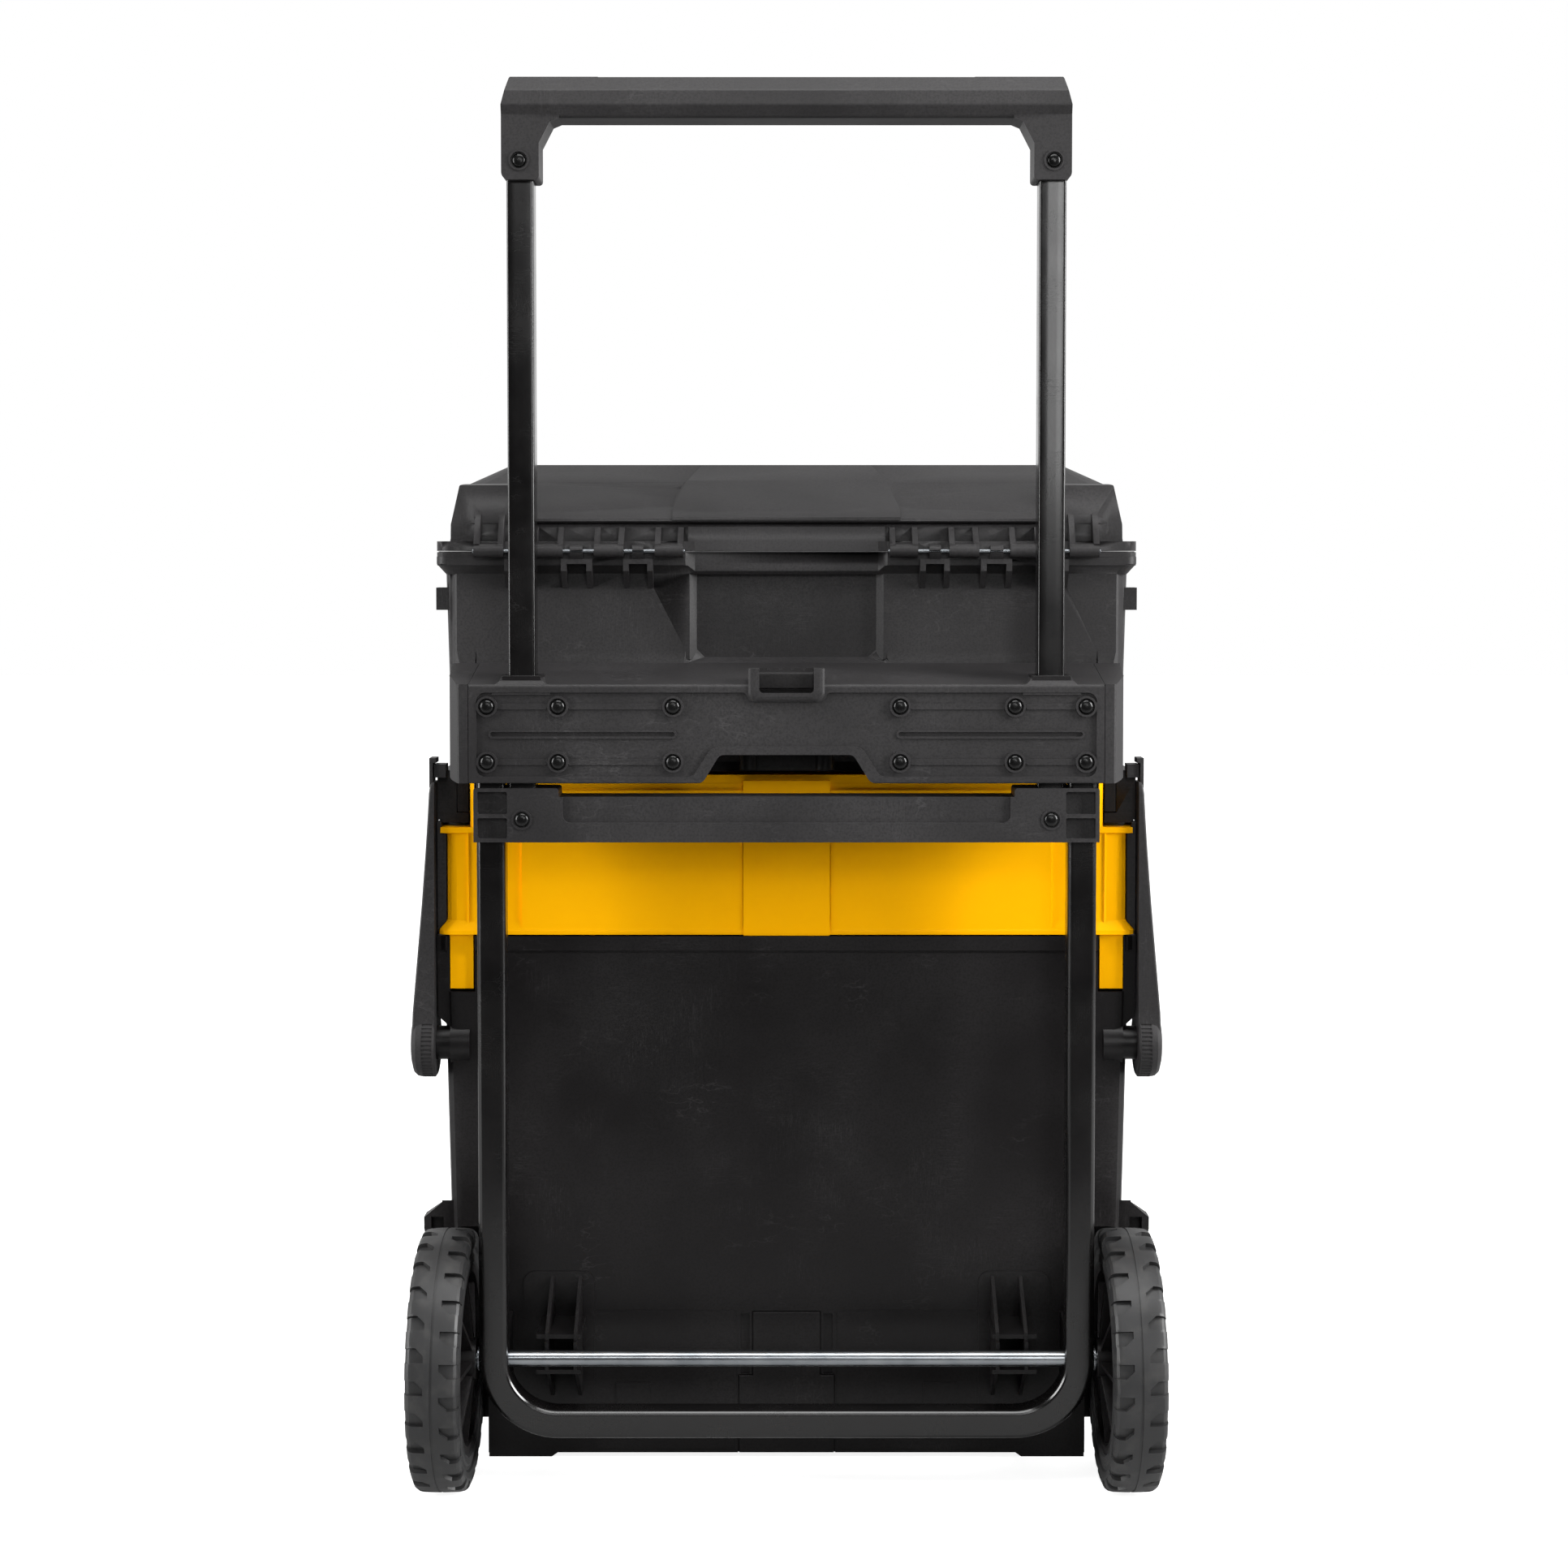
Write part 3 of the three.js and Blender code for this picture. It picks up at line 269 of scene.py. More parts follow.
def painted_steel():
    """Gloss black paint with light rub marks."""
    look = Look(
        "painted_steel", IOR=1.5, Specular_IOR_Level=0.35, Coat_Weight=0.3, Coat_Roughness=0.12
    )
    cloud = look.noise(30.0, 3.0)
    blend = look.steps(cloud, (0.3, 0.0), (0.7, 1.0))
    look.drive("Base Color", look.mix(blend, (0.0016, 0.0014, 0.0015), (0.004, 0.0036, 0.0036)))
    marks = look.scratches(density=0.6, seed=1.3, scale=26.0)
    gloss = look.steps(cloud, (0.3, 0.2), (0.7, 0.28))
    look.drive("Roughness", look.math("ADD", gloss, look.math("MULTIPLY", marks, 0.2)))
    look.bump(look.noise(420.0, 2.0), 0.00005, 0.5)
    return look.material


def yellow_plastic():
    """Satin yellow plastic that lets a little light in."""
    look = Look("yellow_plastic", IOR=1.42, Specular_IOR_Level=0.05, Subsurface_Weight=0.05)
    look.shader.inputs["Subsurface Radius"].default_value = (0.004, 0.002, 0.0005)
    cloud = look.noise(7.0, 3.0)
    blend = look.steps(cloud, (0.3, 0.0), (0.7, 1.0))
    look.drive("Base Color", look.mix(blend, (0.88, 0.40, 0.0002), (0.94, 0.44, 0.0004)))
    look.drive("Roughness", look.steps(cloud, (0.3, 0.33), (0.7, 0.42)))
    look.bump(look.noise(1500.0, 2.0), 0.00004, 0.5)
    return look.material


def zinc_steel():
    """Bright plated steel with lines drawn along X."""
    look = Look("zinc_steel", Metallic=1.0)
    drawn = look.noise(260.0, 3.0, stretch=(0.05, 1, 1))
    cloud = look.noise(40.0, 2.0)
    blend = look.steps(cloud, (0.3, 0.0), (0.7, 1.0))
    look.drive("Base Color", look.mix(blend, (0.19, 0.205, 0.22), (0.30, 0.315, 0.33)))
    look.drive("Roughness", look.steps(drawn, (0.3, 0.2), (0.7, 0.32)))
    look.bump(drawn, 0.00002, 0.5)
    return look.material


def tyre_rubber():
    """Black rubber with patches of dust."""
    look = Look("tyre_rubber", IOR=1.48)
    cloud = look.noise(24.0, 3.0)
    dust = look.steps(look.noise(90.0, 4.0), (0.5, 0.0), (0.72, 1.0))
    blend = look.steps(cloud, (0.3, 0.0), (0.7, 1.0))
    tone = look.mix(blend, (0.007, 0.007, 0.0074), (0.0135, 0.0135, 0.014))
    look.drive("Base Color", look.mix(look.math("MULTIPLY", dust, 0.3), tone, (0.05, 0.048, 0.045)))
    look.drive("Roughness", look.steps(cloud, (0.3, 0.42), (0.7, 0.56)))
    look.bump(look.noise(900.0, 2.0), 0.00006, 0.6)
    return look.material


def rivet_black():
    """Gloss black rivet heads."""
    look = Look("rivet_steel", IOR=1.45, Specular_IOR_Level=0.3)
    cloud = look.noise(160.0, 2.0)
    look.drive("Base Color", look.mix(cloud, (0.0025, 0.0025, 0.0025), (0.005, 0.005, 0.005)))
    look.drive("Roughness", look.steps(cloud, (0.3, 0.2), (0.7, 0.3)))
    look.bump(cloud, 0.00003, 0.4)
    return look.material


LOOKS = {
    "black_plastic": moulded_black(
        "black_plastic",
        (0.0150, 0.0141, 0.0146),
        roughness=0.5,
        grain=1500.0,
        grain_depth=0.00010,
        wear=0.8,
    ),
    "satin_black_plastic": moulded_black(
        "satin_black_plastic",
        (0.0062, 0.0056, 0.0058),
        roughness=0.36,
        grain=1100.0,
        grain_depth=0.00004,
        wear=0.5,
    ),
    "yellow_plastic": yellow_plastic(),
    "painted_steel": painted_steel(),
    "zinc_steel": zinc_steel(),
    "tyre_rubber": tyre_rubber(),
    "rivet_steel": rivet_black(),
}
SLOT_OF = {row["node"]: row["material_slot"] for row in frame["record"]["subparts"]}
BODIES = frame["record"]["behaviour"]["bodies"]
BODY_OF = {node: body for body, nodes in BODIES.items() for node in nodes}


# ------------------------------------------------------------------ pieces


def finish_piece(piece, node):
    """Gives a piece its slot's material and lets it ride with the node that it stands for."""
    piece.data.materials.clear()
    piece.data.materials.append(LOOKS[SLOT_OF[node]])
    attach(piece, BODY_OF[node])
    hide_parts(node)


def soften(piece, width, segments=3, angle=ROUND_ANGLE):
    """Rounds a piece's edges, keeps its flat faces flat and shades the rest smooth."""
    bm = bmesh.new()
    bm.from_mesh(piece.data)
    for edge in bm.edges:
        turn = math.degrees(edge.calc_face_angle(math.pi))
        edge.smooth = not SHARP_ANGLE < turn < angle
    for face in bm.faces:
        face.smooth = True
    bm.to_mesh(piece.data)
    bm.free()
    bevel = piece.modifiers.new("soft_edges", "BEVEL")
    bevel.width = width
    bevel.segments = segments
    bevel.limit_method = "ANGLE"
    bevel.angle_limit = math.radians(angle)
    bevel.use_clamp_overlap = True
    bevel.miter_outer = "MITER_ARC"
    bevel.face_strength_mode = "FSTR_ALL"
    normals = piece.modifiers.new("flat_faces", "WEIGHTED_NORMAL")
    normals.mode = "FACE_AREA"
    normals.weight = 100
    normals.keep_sharp = True
    normals.use_face_influence = True


def from_cad(node):
    """A CAD node's shape as a new object, ready to be cut and added to."""
    bm = bmesh.new()
    bm.from_mesh(frame["nodes"][node].data)
    bmesh.ops.remove_doubles(bm, verts=bm.verts, dist=JOIN_DISTANCE)
    return as_object(bm, "fine_" + node)


def as_object(bm, name):
    """A new object with the bmesh's shape. The bmesh is used up."""
    mesh = bpy.data.meshes.new(name)
    bm.to_mesh(mesh)
    bm.free()
    piece = bpy.data.objects.new(name, mesh)
    bpy.context.collection.objects.link(piece)
    return piece


def merge_flat_faces(bm, angle):
    """Clears the lines that lie across flat faces, then cuts many-sided faces into triangles."""
    bmesh.ops.dissolve_limit(bm, angle_limit=math.radians(angle), verts=bm.verts, edges=bm.edges)
    bmesh.ops.triangulate(bm, faces=[f for f in bm.faces if len(f.verts) > 4])


def flatten(piece):
    """Joins a solid's touching points and merges its flat faces."""
    bm = bmesh.new()
    bm.from_mesh(piece.data)
    bmesh.ops.remove_doubles(bm, verts=bm.verts, dist=JOIN_DISTANCE)
    merge_flat_faces(bm, FLAT_ANGLE)
    bm.to_mesh(piece.data)
    bm.free()


def refined(node):
    """A CAD node's own shape with its edges rounded."""
    bm = bmesh.new()
    bm.from_mesh(frame["nodes"][node].data)
    bmesh.ops.remove_doubles(bm, verts=bm.verts, dist=JOIN_DISTANCE)
    merge_flat_faces(bm, CAD_FLAT_ANGLE)
    piece = as_object(bm, "fine_" + node)
    soften(piece, CAD_ROUNDING, 2)
    finish_piece(piece, node)


def complete(piece, node, width, segments=3, angle=ROUND_ANGLE):
    """Names a finished solid after the node that it stands for, rounds its edges and dresses it."""
    piece.name = piece.data.name = "fine_" + node
    flatten(piece)
    soften(piece, width * MM, segments, angle)
    finish_piece(piece, node)


def extra(piece, name, beside, slot, width):
    """A piece that the CAD model doesn't have: it rides with the body of the node beside it."""
    piece.name = piece.data.name = name
    flatten(piece)
    soften(piece, width * MM, 2)
    piece.data.materials.append(LOOKS[slot])
    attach(piece, BODY_OF[beside])


# ------------------------------------------------------------------ solids in millimetres


def rounded(points, steps=6):
    """An outline whose corners may be rounded: a point is (u, v) or (u, v, radius)."""
    out = []
    count = len(points)
    for i, point in enumerate(points):
        corner = Vector(point[:2])
        radius = point[2] if len(point) > 2 else 0.0
        if not radius:
            out.append(corner)
            continue
        a = (Vector(points[i - 1][:2]) - corner).normalized()
        b = (Vector(points[(i + 1) % count][:2]) - corner).normalized()
        half = math.acos(max(-1.0, min(1.0, a.dot(b)))) / 2
        centre = corner + (a + b).normalized() * (radius / math.sin(half))
        start = corner + a * (radius / math.tan(half)) - centre
        end = corner + b * (radius / math.tan(half)) - centre
        first = math.atan2(start.y, start.x)
        turn = (math.atan2(end.y, end.x) - first + math.pi) % (2 * math.pi) - math.pi
        for k in range(steps + 1):
            angle = first + turn * k / steps
            out.append(centre + Vector((math.cos(angle), math.sin(angle))) * radius)
    return out


def solid(name, vertices, faces):
    """An object from points in millimetres. Its faces are turned outwards."""
    bm = bmesh.new()
    made = [bm.verts.new(Vector(v) * MM) for v in vertices]
    for face in faces:
        bm.faces.new([made[i] for i in face])
    bmesh.ops.recalc_face_normals(bm, faces=bm.faces)
    mesh = bpy.data.meshes.new(name)
    bm.to_mesh(mesh)
    bm.free()
    piece = bpy.data.objects.new(name, mesh)
    bpy.context.collection.objects.link(piece)
    return piece


PLACES = {
    "X": lambda u, v, d: (d, u, v),
    "Y": lambda u, v, d: (u, d, v),
    "Z": lambda u, v, d: (u, v, d),
}


def prism(axis, points, low, high, steps=6):
    """A flat outline pushed along an axis. Outline points are (y, z), (x, z) or (x, y)."""
    flat = rounded(points, steps)
    place = PLACES[axis]
    count = len(flat)
    vertices = [place(p.x, p.y, d) for d in (low, high) for p in flat]
    sides = [(i, (i + 1) % count, (i + 1) % count + count, i + count) for i in range(count)]
    return solid("tool", vertices, [tuple(range(count)), tuple(range(count, 2 * count)), *sides])


def box(x0, x1, y0, y1, z0, z1):
    return prism("Z", [(x0, y0), (x1, y0), (x1, y1), (x0, y1)], z0, z1)


def capsule(axis, u0, u1, v, half, low, high):
    """A slot shape with round ends, along the outline's first direction."""
    corners = [(u0, v - half), (u1, v - half), (u1, v + half), (u0, v + half)]
    return prism(axis, [(*corner, half * 0.98) for corner in corners], low, high)


def disc(axis, u, v, radius, low, high, sides=40):
    turn = 2 * math.pi / sides
    points = [(u + radius * math.cos(k * turn), v + radius * math.sin(k * turn)) for k in range(sides)]
    return prism(axis, points, low, high)


def turned(profile, centre, sides=96):
    """A closed profile of (radius, x) points, turned about an axis along X through centre (y, z)."""
    vertices, faces = [], []
    count = len(profile)
    for k in range(sides):
        angle = 2 * math.pi * k / sides
        for radius, x in profile:
            y, z = radius * math.cos(angle), radius * math.sin(angle)
            vertices.append((x, centre[0] + y, centre[1] + z))
        for i in range(count):
            j = (i + 1) % count
            n = (k + 1) % sides
            faces.append((k * count + i, k * count + j, n * count + j, n * count + i))
    return solid("tool", vertices, faces)


def loft(rings):
    """A closed skin through rings of equal length, closed at both ends."""
    count = len(rings[0])
    vertices = [v for one in rings for v in one]
    faces = [tuple(range(count)), tuple(range((len(rings) - 1) * count, len(rings) * count))]
    for i in range(len(rings) - 1):
        for j in range(count):
            k = (j + 1) % count
            faces.append((i * count + j, i * count + k, (i + 1) * count + k, (i + 1) * count + j))
    return solid("tool", vertices, faces)


def circle(centre, radius, sides):
    """Points round a centre, as pairs."""
    turns = [2 * math.pi * k / sides for k in range(sides)]
    return [(centre[0] + radius * math.cos(a), centre[1] + radius * math.sin(a)) for a in turns]


def spun(profile, centre, sides=96):
    """Circles of (radius, x) skinned along X about centre (y, z), closed at both ends."""
    return loft([[(x, *point) for point in circle(centre, r, sides)] for r, x in profile])


def apply_modifiers(piece):
    """Makes the modifiers' result the piece's own mesh."""
    graph = bpy.context.evaluated_depsgraph_get()
    mesh = bpy.data.meshes.new_from_object(piece.evaluated_get(graph))
    old = piece.data
    piece.modifiers.clear()
    piece.data = mesh
    bpy.data.meshes.remove(old)


def gather(pieces):
    """Puts several meshes in the first one, without joining their surfaces."""
    first = pieces[0]
    bm = bmesh.new()
    for piece in pieces:
        bm.from_mesh(piece.data)
    bm.to_mesh(first.data)
    bm.free()
    for piece in pieces[1:]:
        drop(piece)
    return first


def drop(piece):
    """Deletes a piece and its mesh."""
    mesh = piece.data
    bpy.data.objects.remove(piece)
    bpy.data.meshes.remove(mesh)


def combine(piece, tools, operation):
    """Cuts, joins or trims a piece with tools, which are used up."""
    tool = gather(tools)
    boolean = piece.modifiers.new("combine", "BOOLEAN")
    boolean.operation = operation
    boolean.solver = "EXACT"
    boolean.use_self = True
    boolean.object = tool
    apply_modifiers(piece)
    drop(tool)
    return piece


def carve(piece, tools):
    return combine(piece, tools, "DIFFERENCE")


def fuse(piece, tools):
    return combine(piece, tools, "UNION")


def keep_inside(piece, tool):
    return combine(piece, [tool], "INTERSECT")


def rounded_box(u0, u1, v0, v1, radius):
    """The corners of a rectangle, each with a radius."""
    return [(u0, v0, radius), (u1, v0, radius), (u1, v1, radius), (u0, v1, radius)]


def tub(levels, radius):
    """A skin through rounded rectangles. A level is (z, half width, front y, rear y)."""
    rings = []
    for z, half, front, rear in levels:
        flat = rounded(rounded_box(-half, half, front, rear, radius), 4)
        rings.append([(p.x, p.y, z) for p in flat])
    return loft(rings)


def sides_of(make):
    """The shapes that make(sign) gives for the right (+1) and left (-1) side."""
    return [shape for sign in (1, -1) for shape in make(sign)]


def span(sign, a, b):
    """x limits a to b on the right side, or their mirror image on the left."""
    return (a, b) if sign > 0 else (-b, -a)


def flip(sign, points):
    """An outline as drawn for the right side, or its mirror image for the left."""
    return [(sign * p[0], *p[1:]) for p in points]


# ------------------------------------------------------------------ rear bracket

FACE = 148.0  # the bracket's rear face
RIVET_X = (77.6, 156.0, 204.5)
RIVET_Z = (506.0, 544.0)
RIVET_WELL = 5.7  # radius of the well round each rivet's head
UPRIGHT_X = 181
UPRIGHT_HOLE = (171.4, 190.6)  # limits in x of the hole that an upright passes through


def hand_slot():
    """The slot's outline: its lower corners curve out into the bracket's bottom edge."""
    return [
        (-70, 480),
        (70, 480),
        (70, 491.6),
        (57.5, 491.6, 6),
        (45.6, 511, 5),
        (-45.6, 511, 5),
        (-57.5, 491.6, 6),
        (-70, 491.6),
    ]


def panel_outline():
    """The edge of the bracket's sunk panel: it passes over the slot and under the release pocket."""
    return [
        (-211.5, 496, 6),
        (-64, 496, 7),
        (-51, 516.6, 9),
        (51, 516.6, 9),
        (64, 496, 7),
        (211.5, 496, 6),
        (211.5, 553.6, 6),
        (28, 553.6, 3),
        (25.6, 547.4, 5),
        (-25.6, 547.4, 5),
        (-28, 553.6, 3),
        (-211.5, 553.6, 6),
    ]


def rivet_discs(radius, low, high):
    """A disc at each of the bracket's rivets."""
    return sides_of(
        lambda s: [disc("Y", s * x, z, radius, low, high) for x in RIVET_X for z in RIVET_Z]
    )


def make_bracket():
    """The moulded cover over the frame's top: a bordered panel, riveted pads and a hand slot."""
    floor = FACE - 1.7
    back = FACE - 4
    middle = 525
    section = [
        (FACE, 491.5, 1.2),
        (FACE, 559, 2.5),
        (78, 571),
        (76, 567),
        (138, 554),
        (FACE - 6.5, 550),
        (FACE - 6.5, 491.5),
    ]
    cover = prism("X", section, -217, 217)
    carve(cover, [prism("Y", panel_outline(), floor, FACE + 5)])
    pads = rivet_discs(7.2, back, FACE + 0.5)
    beads = sides_of(
        lambda s: [
            *[capsule("Y", *span(s, 84, 149.5), z, 2.0, back, floor + 0.8) for z in RIVET_Z],
            *[capsule("Y", *span(s, 163, 198), z, 2.0, back, floor + 0.8) for z in RIVET_Z],
            capsule("Y", *span(s, 75, 203.5), middle, 3.0, back, floor + 0.9),
        ]
    )
    rim = []
    for w, y in ((26, FACE - 14), (26, FACE), (24.6, FACE + 1.4), (22.6, FACE + 2.0)):
        outline = [(-w, 573.5 - w, 6), (w, 573.5 - w, 6), (w, 570), (-w, 570)]
        rim.append([(p.x, y, p.y) for p in rounded(outline)])
    fuse(cover, [*pads, *beads, loft(rim), *sides_of(lambda s: [collar(s)])])
    wells = rivet_discs(RIVET_WELL, FACE - 2.4, FACE + 2)
    slots = sides_of(
        lambda s: [capsule("Y", *span(s, 76.4, 202.2), middle, 1.5, FACE - 2.6, FACE + 1)]
    )
    release_pocket = [(-18.6, 553.2, 2.5), (18.6, 553.2, 2.5), (18.6, 590), (-18.6, 590)]
    carve(cover, [prism("Y", hand_slot(), 100, 160)])
    carve(cover, [prism("Y", release_pocket, 100, 160)])
    carve(cover, [*wells, *slots])
    carve(cover, sides_of(lambda s: [box(*span(s, *UPRIGHT_HOLE), 120.4, 141.6, 480, 600)]))
    complete(cover, "rear_bracket", 0.35, 2)


def make_release_housing():
    """The dark housing that the hand slot shows, with two round ribs; it rides on the chassis."""
    body = prism("Y", [(-32, 497, 2), (32, 497, 2), (34, 546), (-34, 546)], 86, 106)
    posts = sides_of(lambda s: [disc("Z", s * 26.5, 104.5, 6.4, 497.6, 545)])
    fuse(body, posts)
    extra(body, "release_housing", "rear_bracket", "satin_black_plastic", 0.8)


def collar(sign):
    """The raised surround where an upright leaves the bracket, with flared feet."""
    rings = []
    for z, half in ((552, 20), (558.6, 18.6), (560.2, 16.2), (561.6, 15.0), (563.4, 14.3)):
        x0, x1 = span(sign, UPRIGHT_X - half, UPRIGHT_X + half)
        flare = half - 14.1
        front, rear = 116.5 - flare * 0.7, min(FACE - 0.4, 144.5 + flare * 0.6)
        rings.append([(x0, front, z), (x1, front, z), (x1, rear, z), (x0, rear, z)])
    return loft(rings)


def make_bracket_end(sign, side):
    """The end cap of the bracket: it turns the corner and runs forward beside the tool box."""
    plan = [(217.4, FACE), (224.5, FACE, 2), (233.5, 118, 3), (236, 78), (217.4, 78)]
    inner = [(214, FACE - 3), (222, FACE - 3), (230.5, 117), (233, 75), (214, 75)]
    shell = prism("Z", flip(sign, plan), 480, 590)
    keep = [(152, 491.5), (152, 560), (FACE - 2, 559), (74, 571.5), (74, 499), (126, 492)]
    keep_inside(shell, prism("X", keep, *span(sign, 205, 245)))
    under = [(160, 480), (160, 556), (70, 567.5), (70, 480)]
    core = prism("Z", flip(sign, inner), 470, 600)
    keep_inside(core, prism("X", under, *span(sign, 200, 250)))
    carve(shell, [core])
    complete(shell, side + "_bracket_end", 0.8, 3)


# ------------------------------------------------------------------ handle

def make_crossbar():
    """The handle's lower beam: riveted end blocks, open pockets at its tips and a stepped face."""
    rear = 147.0
    rivet_z = 466.5
    outline = [
        (-214, 451),
        (214, 451),
        (214, 488, 1.5),
        (156, 488, 2),
        (156, 482, 1),
        (-156, 482, 1),
        (-156, 488, 2),
        (-214, 488, 1.5),
    ]
    beam = prism("Y", outline, 116.2, rear)
    recess = [(-153, 464.3, 5), (153, 464.3, 5), (153, 500), (-153, 500)]
    cuts = [prism("Y", recess, rear - 2.2, rear + 5), box(-150, 150, 110, rear - 12, 456, 478)]
    for sign in (1, -1):
        for low, high in ((453.5, 467.6), (470.2, 485.6)):
            pocket = rounded_box(*span(sign, 191, 211.4), low, high, 1.2)
            cuts.append(prism("Y", pocket, rear - 4.9, rear + 5))
    carve(beam, cuts)
    fuse(beam, sides_of(lambda s: [disc("Y", s * UPRIGHT_X, rivet_z, 7.0, rear - 3, rear + 0.6)]))
    wells = sides_of(
        lambda s: [
            disc("Y", s * UPRIGHT_X, rivet_z, RIVET_WELL, rear - 0.8, rear + 5),
            box(*span(s, 192.6, 213.4), 120.4, 141.6, 440, 500),
        ]
    )
    carve(beam, wells)
    complete(beam, "crossbar", 0.5, 2)


def make_grip():
    """The handle's grip: a facetted bar that runs down into two riveted collars."""
    top, low = 971.5, 942.5
    rivet_z = 914
    bar = [
        (116, top, 3),
        (139, top, 3),
        (147.5, 961, 4),
        (149.5, 951, 4),
        (146.5, low, 4),
        (112, low, 5),
        (107.5, 951, 5),
        (108.5, 961, 5),
    ]
    leg = [
        (167.5, 901, 2.5),
        (193, 901, 5),
        (193, 960),
        (150, 960),
        (154, 942.5, 1),
        (160, 940),
        (167.5, 925.5),
    ]
    trim = [(193.0, 951), (196, 951), (196, 980), (184.5, 980), (187.6, top), (188.4, 970)]
    grip = prism("X", bar, -193, 193)
    fuse(grip, sides_of(lambda s: [prism("Y", flip(s, leg), 115.5, 147.2)]))
    carve(grip, sides_of(lambda s: [prism("Y", flip(s, trim), 90, 170)]))
    fuse(grip, sides_of(lambda s: [disc("Y", s * UPRIGHT_X, rivet_z, 7.0, 144, 147.9)]))
    cuts = sides_of(
        lambda s: [
            disc("Y", s * UPRIGHT_X, rivet_z, RIVET_WELL, 146.0, 152),
            box(*span(s, *UPRIGHT_HOLE), 120.6, 141.4, 890, 934.5),
        ]
    )
    middle = box(-128, 128, 100, 152, 971.0, 980)
    carve(grip, [*cuts, middle])
    complete(grip, "handle_grip", 0.9)


def make_dome(node):
    """A polished rivet: a domed head with a thin skirt, on its shank."""
    low, high = (Vector(v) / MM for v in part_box(node))
    centre = ((low.x + high.x) / 2, (low.z + high.z) / 2)
    shank, radius, skirt, dome = 2.3, 4.6, 0.35, 2.0
    seat = high.y - 2.4
    profile = [(shank, low.y), (shank, seat), (radius, seat), (radius + 0.15, seat + skirt)]
    for k in range(1, 9):
        angle = math.radians(90 * k / 9)
        across = (radius - 0.1) * math.cos(angle) + 0.05
        profile.append((across, seat + skirt + dome * math.sin(angle)))
    made = loft([[(u, y, v) for u, v in circle(centre, r, 32)] for r, y in profile])
    complete(made, node, 0.12, 2, 50.0)


# ------------------------------------------------------------------ frame and wheels

AXLE_Y, AXLE_Z = 131.0, 89.0


def make_frame():
    """The bent square tube that carries the axle."""
    x, top, bottom, bend = 203.0, 548.0, 45.0, 45.0
    path = [(-x, top)]
    for centre, first in ((bend - x, 180), (x - bend, 270)):
        for k in range(19):
            angle = math.radians(first + 90 * k / 18)
            path.append((centre + bend * math.cos(angle), bottom + bend + bend * math.sin(angle)))
    path.append((x, top))

    def skin(half, radius, stretch):
        section = rounded(rounded_box(-half, half, -half, half, radius), 5)
        points = [Vector(p) for p in path]
        points[0].y += stretch
        points[-1].y += stretch
        rings = []
        for i, p in enumerate(points):
            into = (p - points[i - 1]).normalized() if i else None
            away = (points[i + 1] - p).normalized() if i + 1 < len(points) else None
            along = ((into or away) + (away or into)).normalized()
            rings.append([(p.x - along.y * s.x, AXLE_Y + s.y, p.y + along.x * s.x) for s in section])
        return loft(rings)

    tube = carve(skin(10, 4.2, 0), [skin(8.2, 3, 2)])
    axle_hole = [(0.01, -230), (5.9, -230), (5.9, 230), (0.01, 230)]
    carve(tube, [turned(axle_hole, (AXLE_Y, AXLE_Z), 40)])
    complete(tube, "frame_tube", 0.3, 2, 40.0)


TREAD_BLOCKS = 26


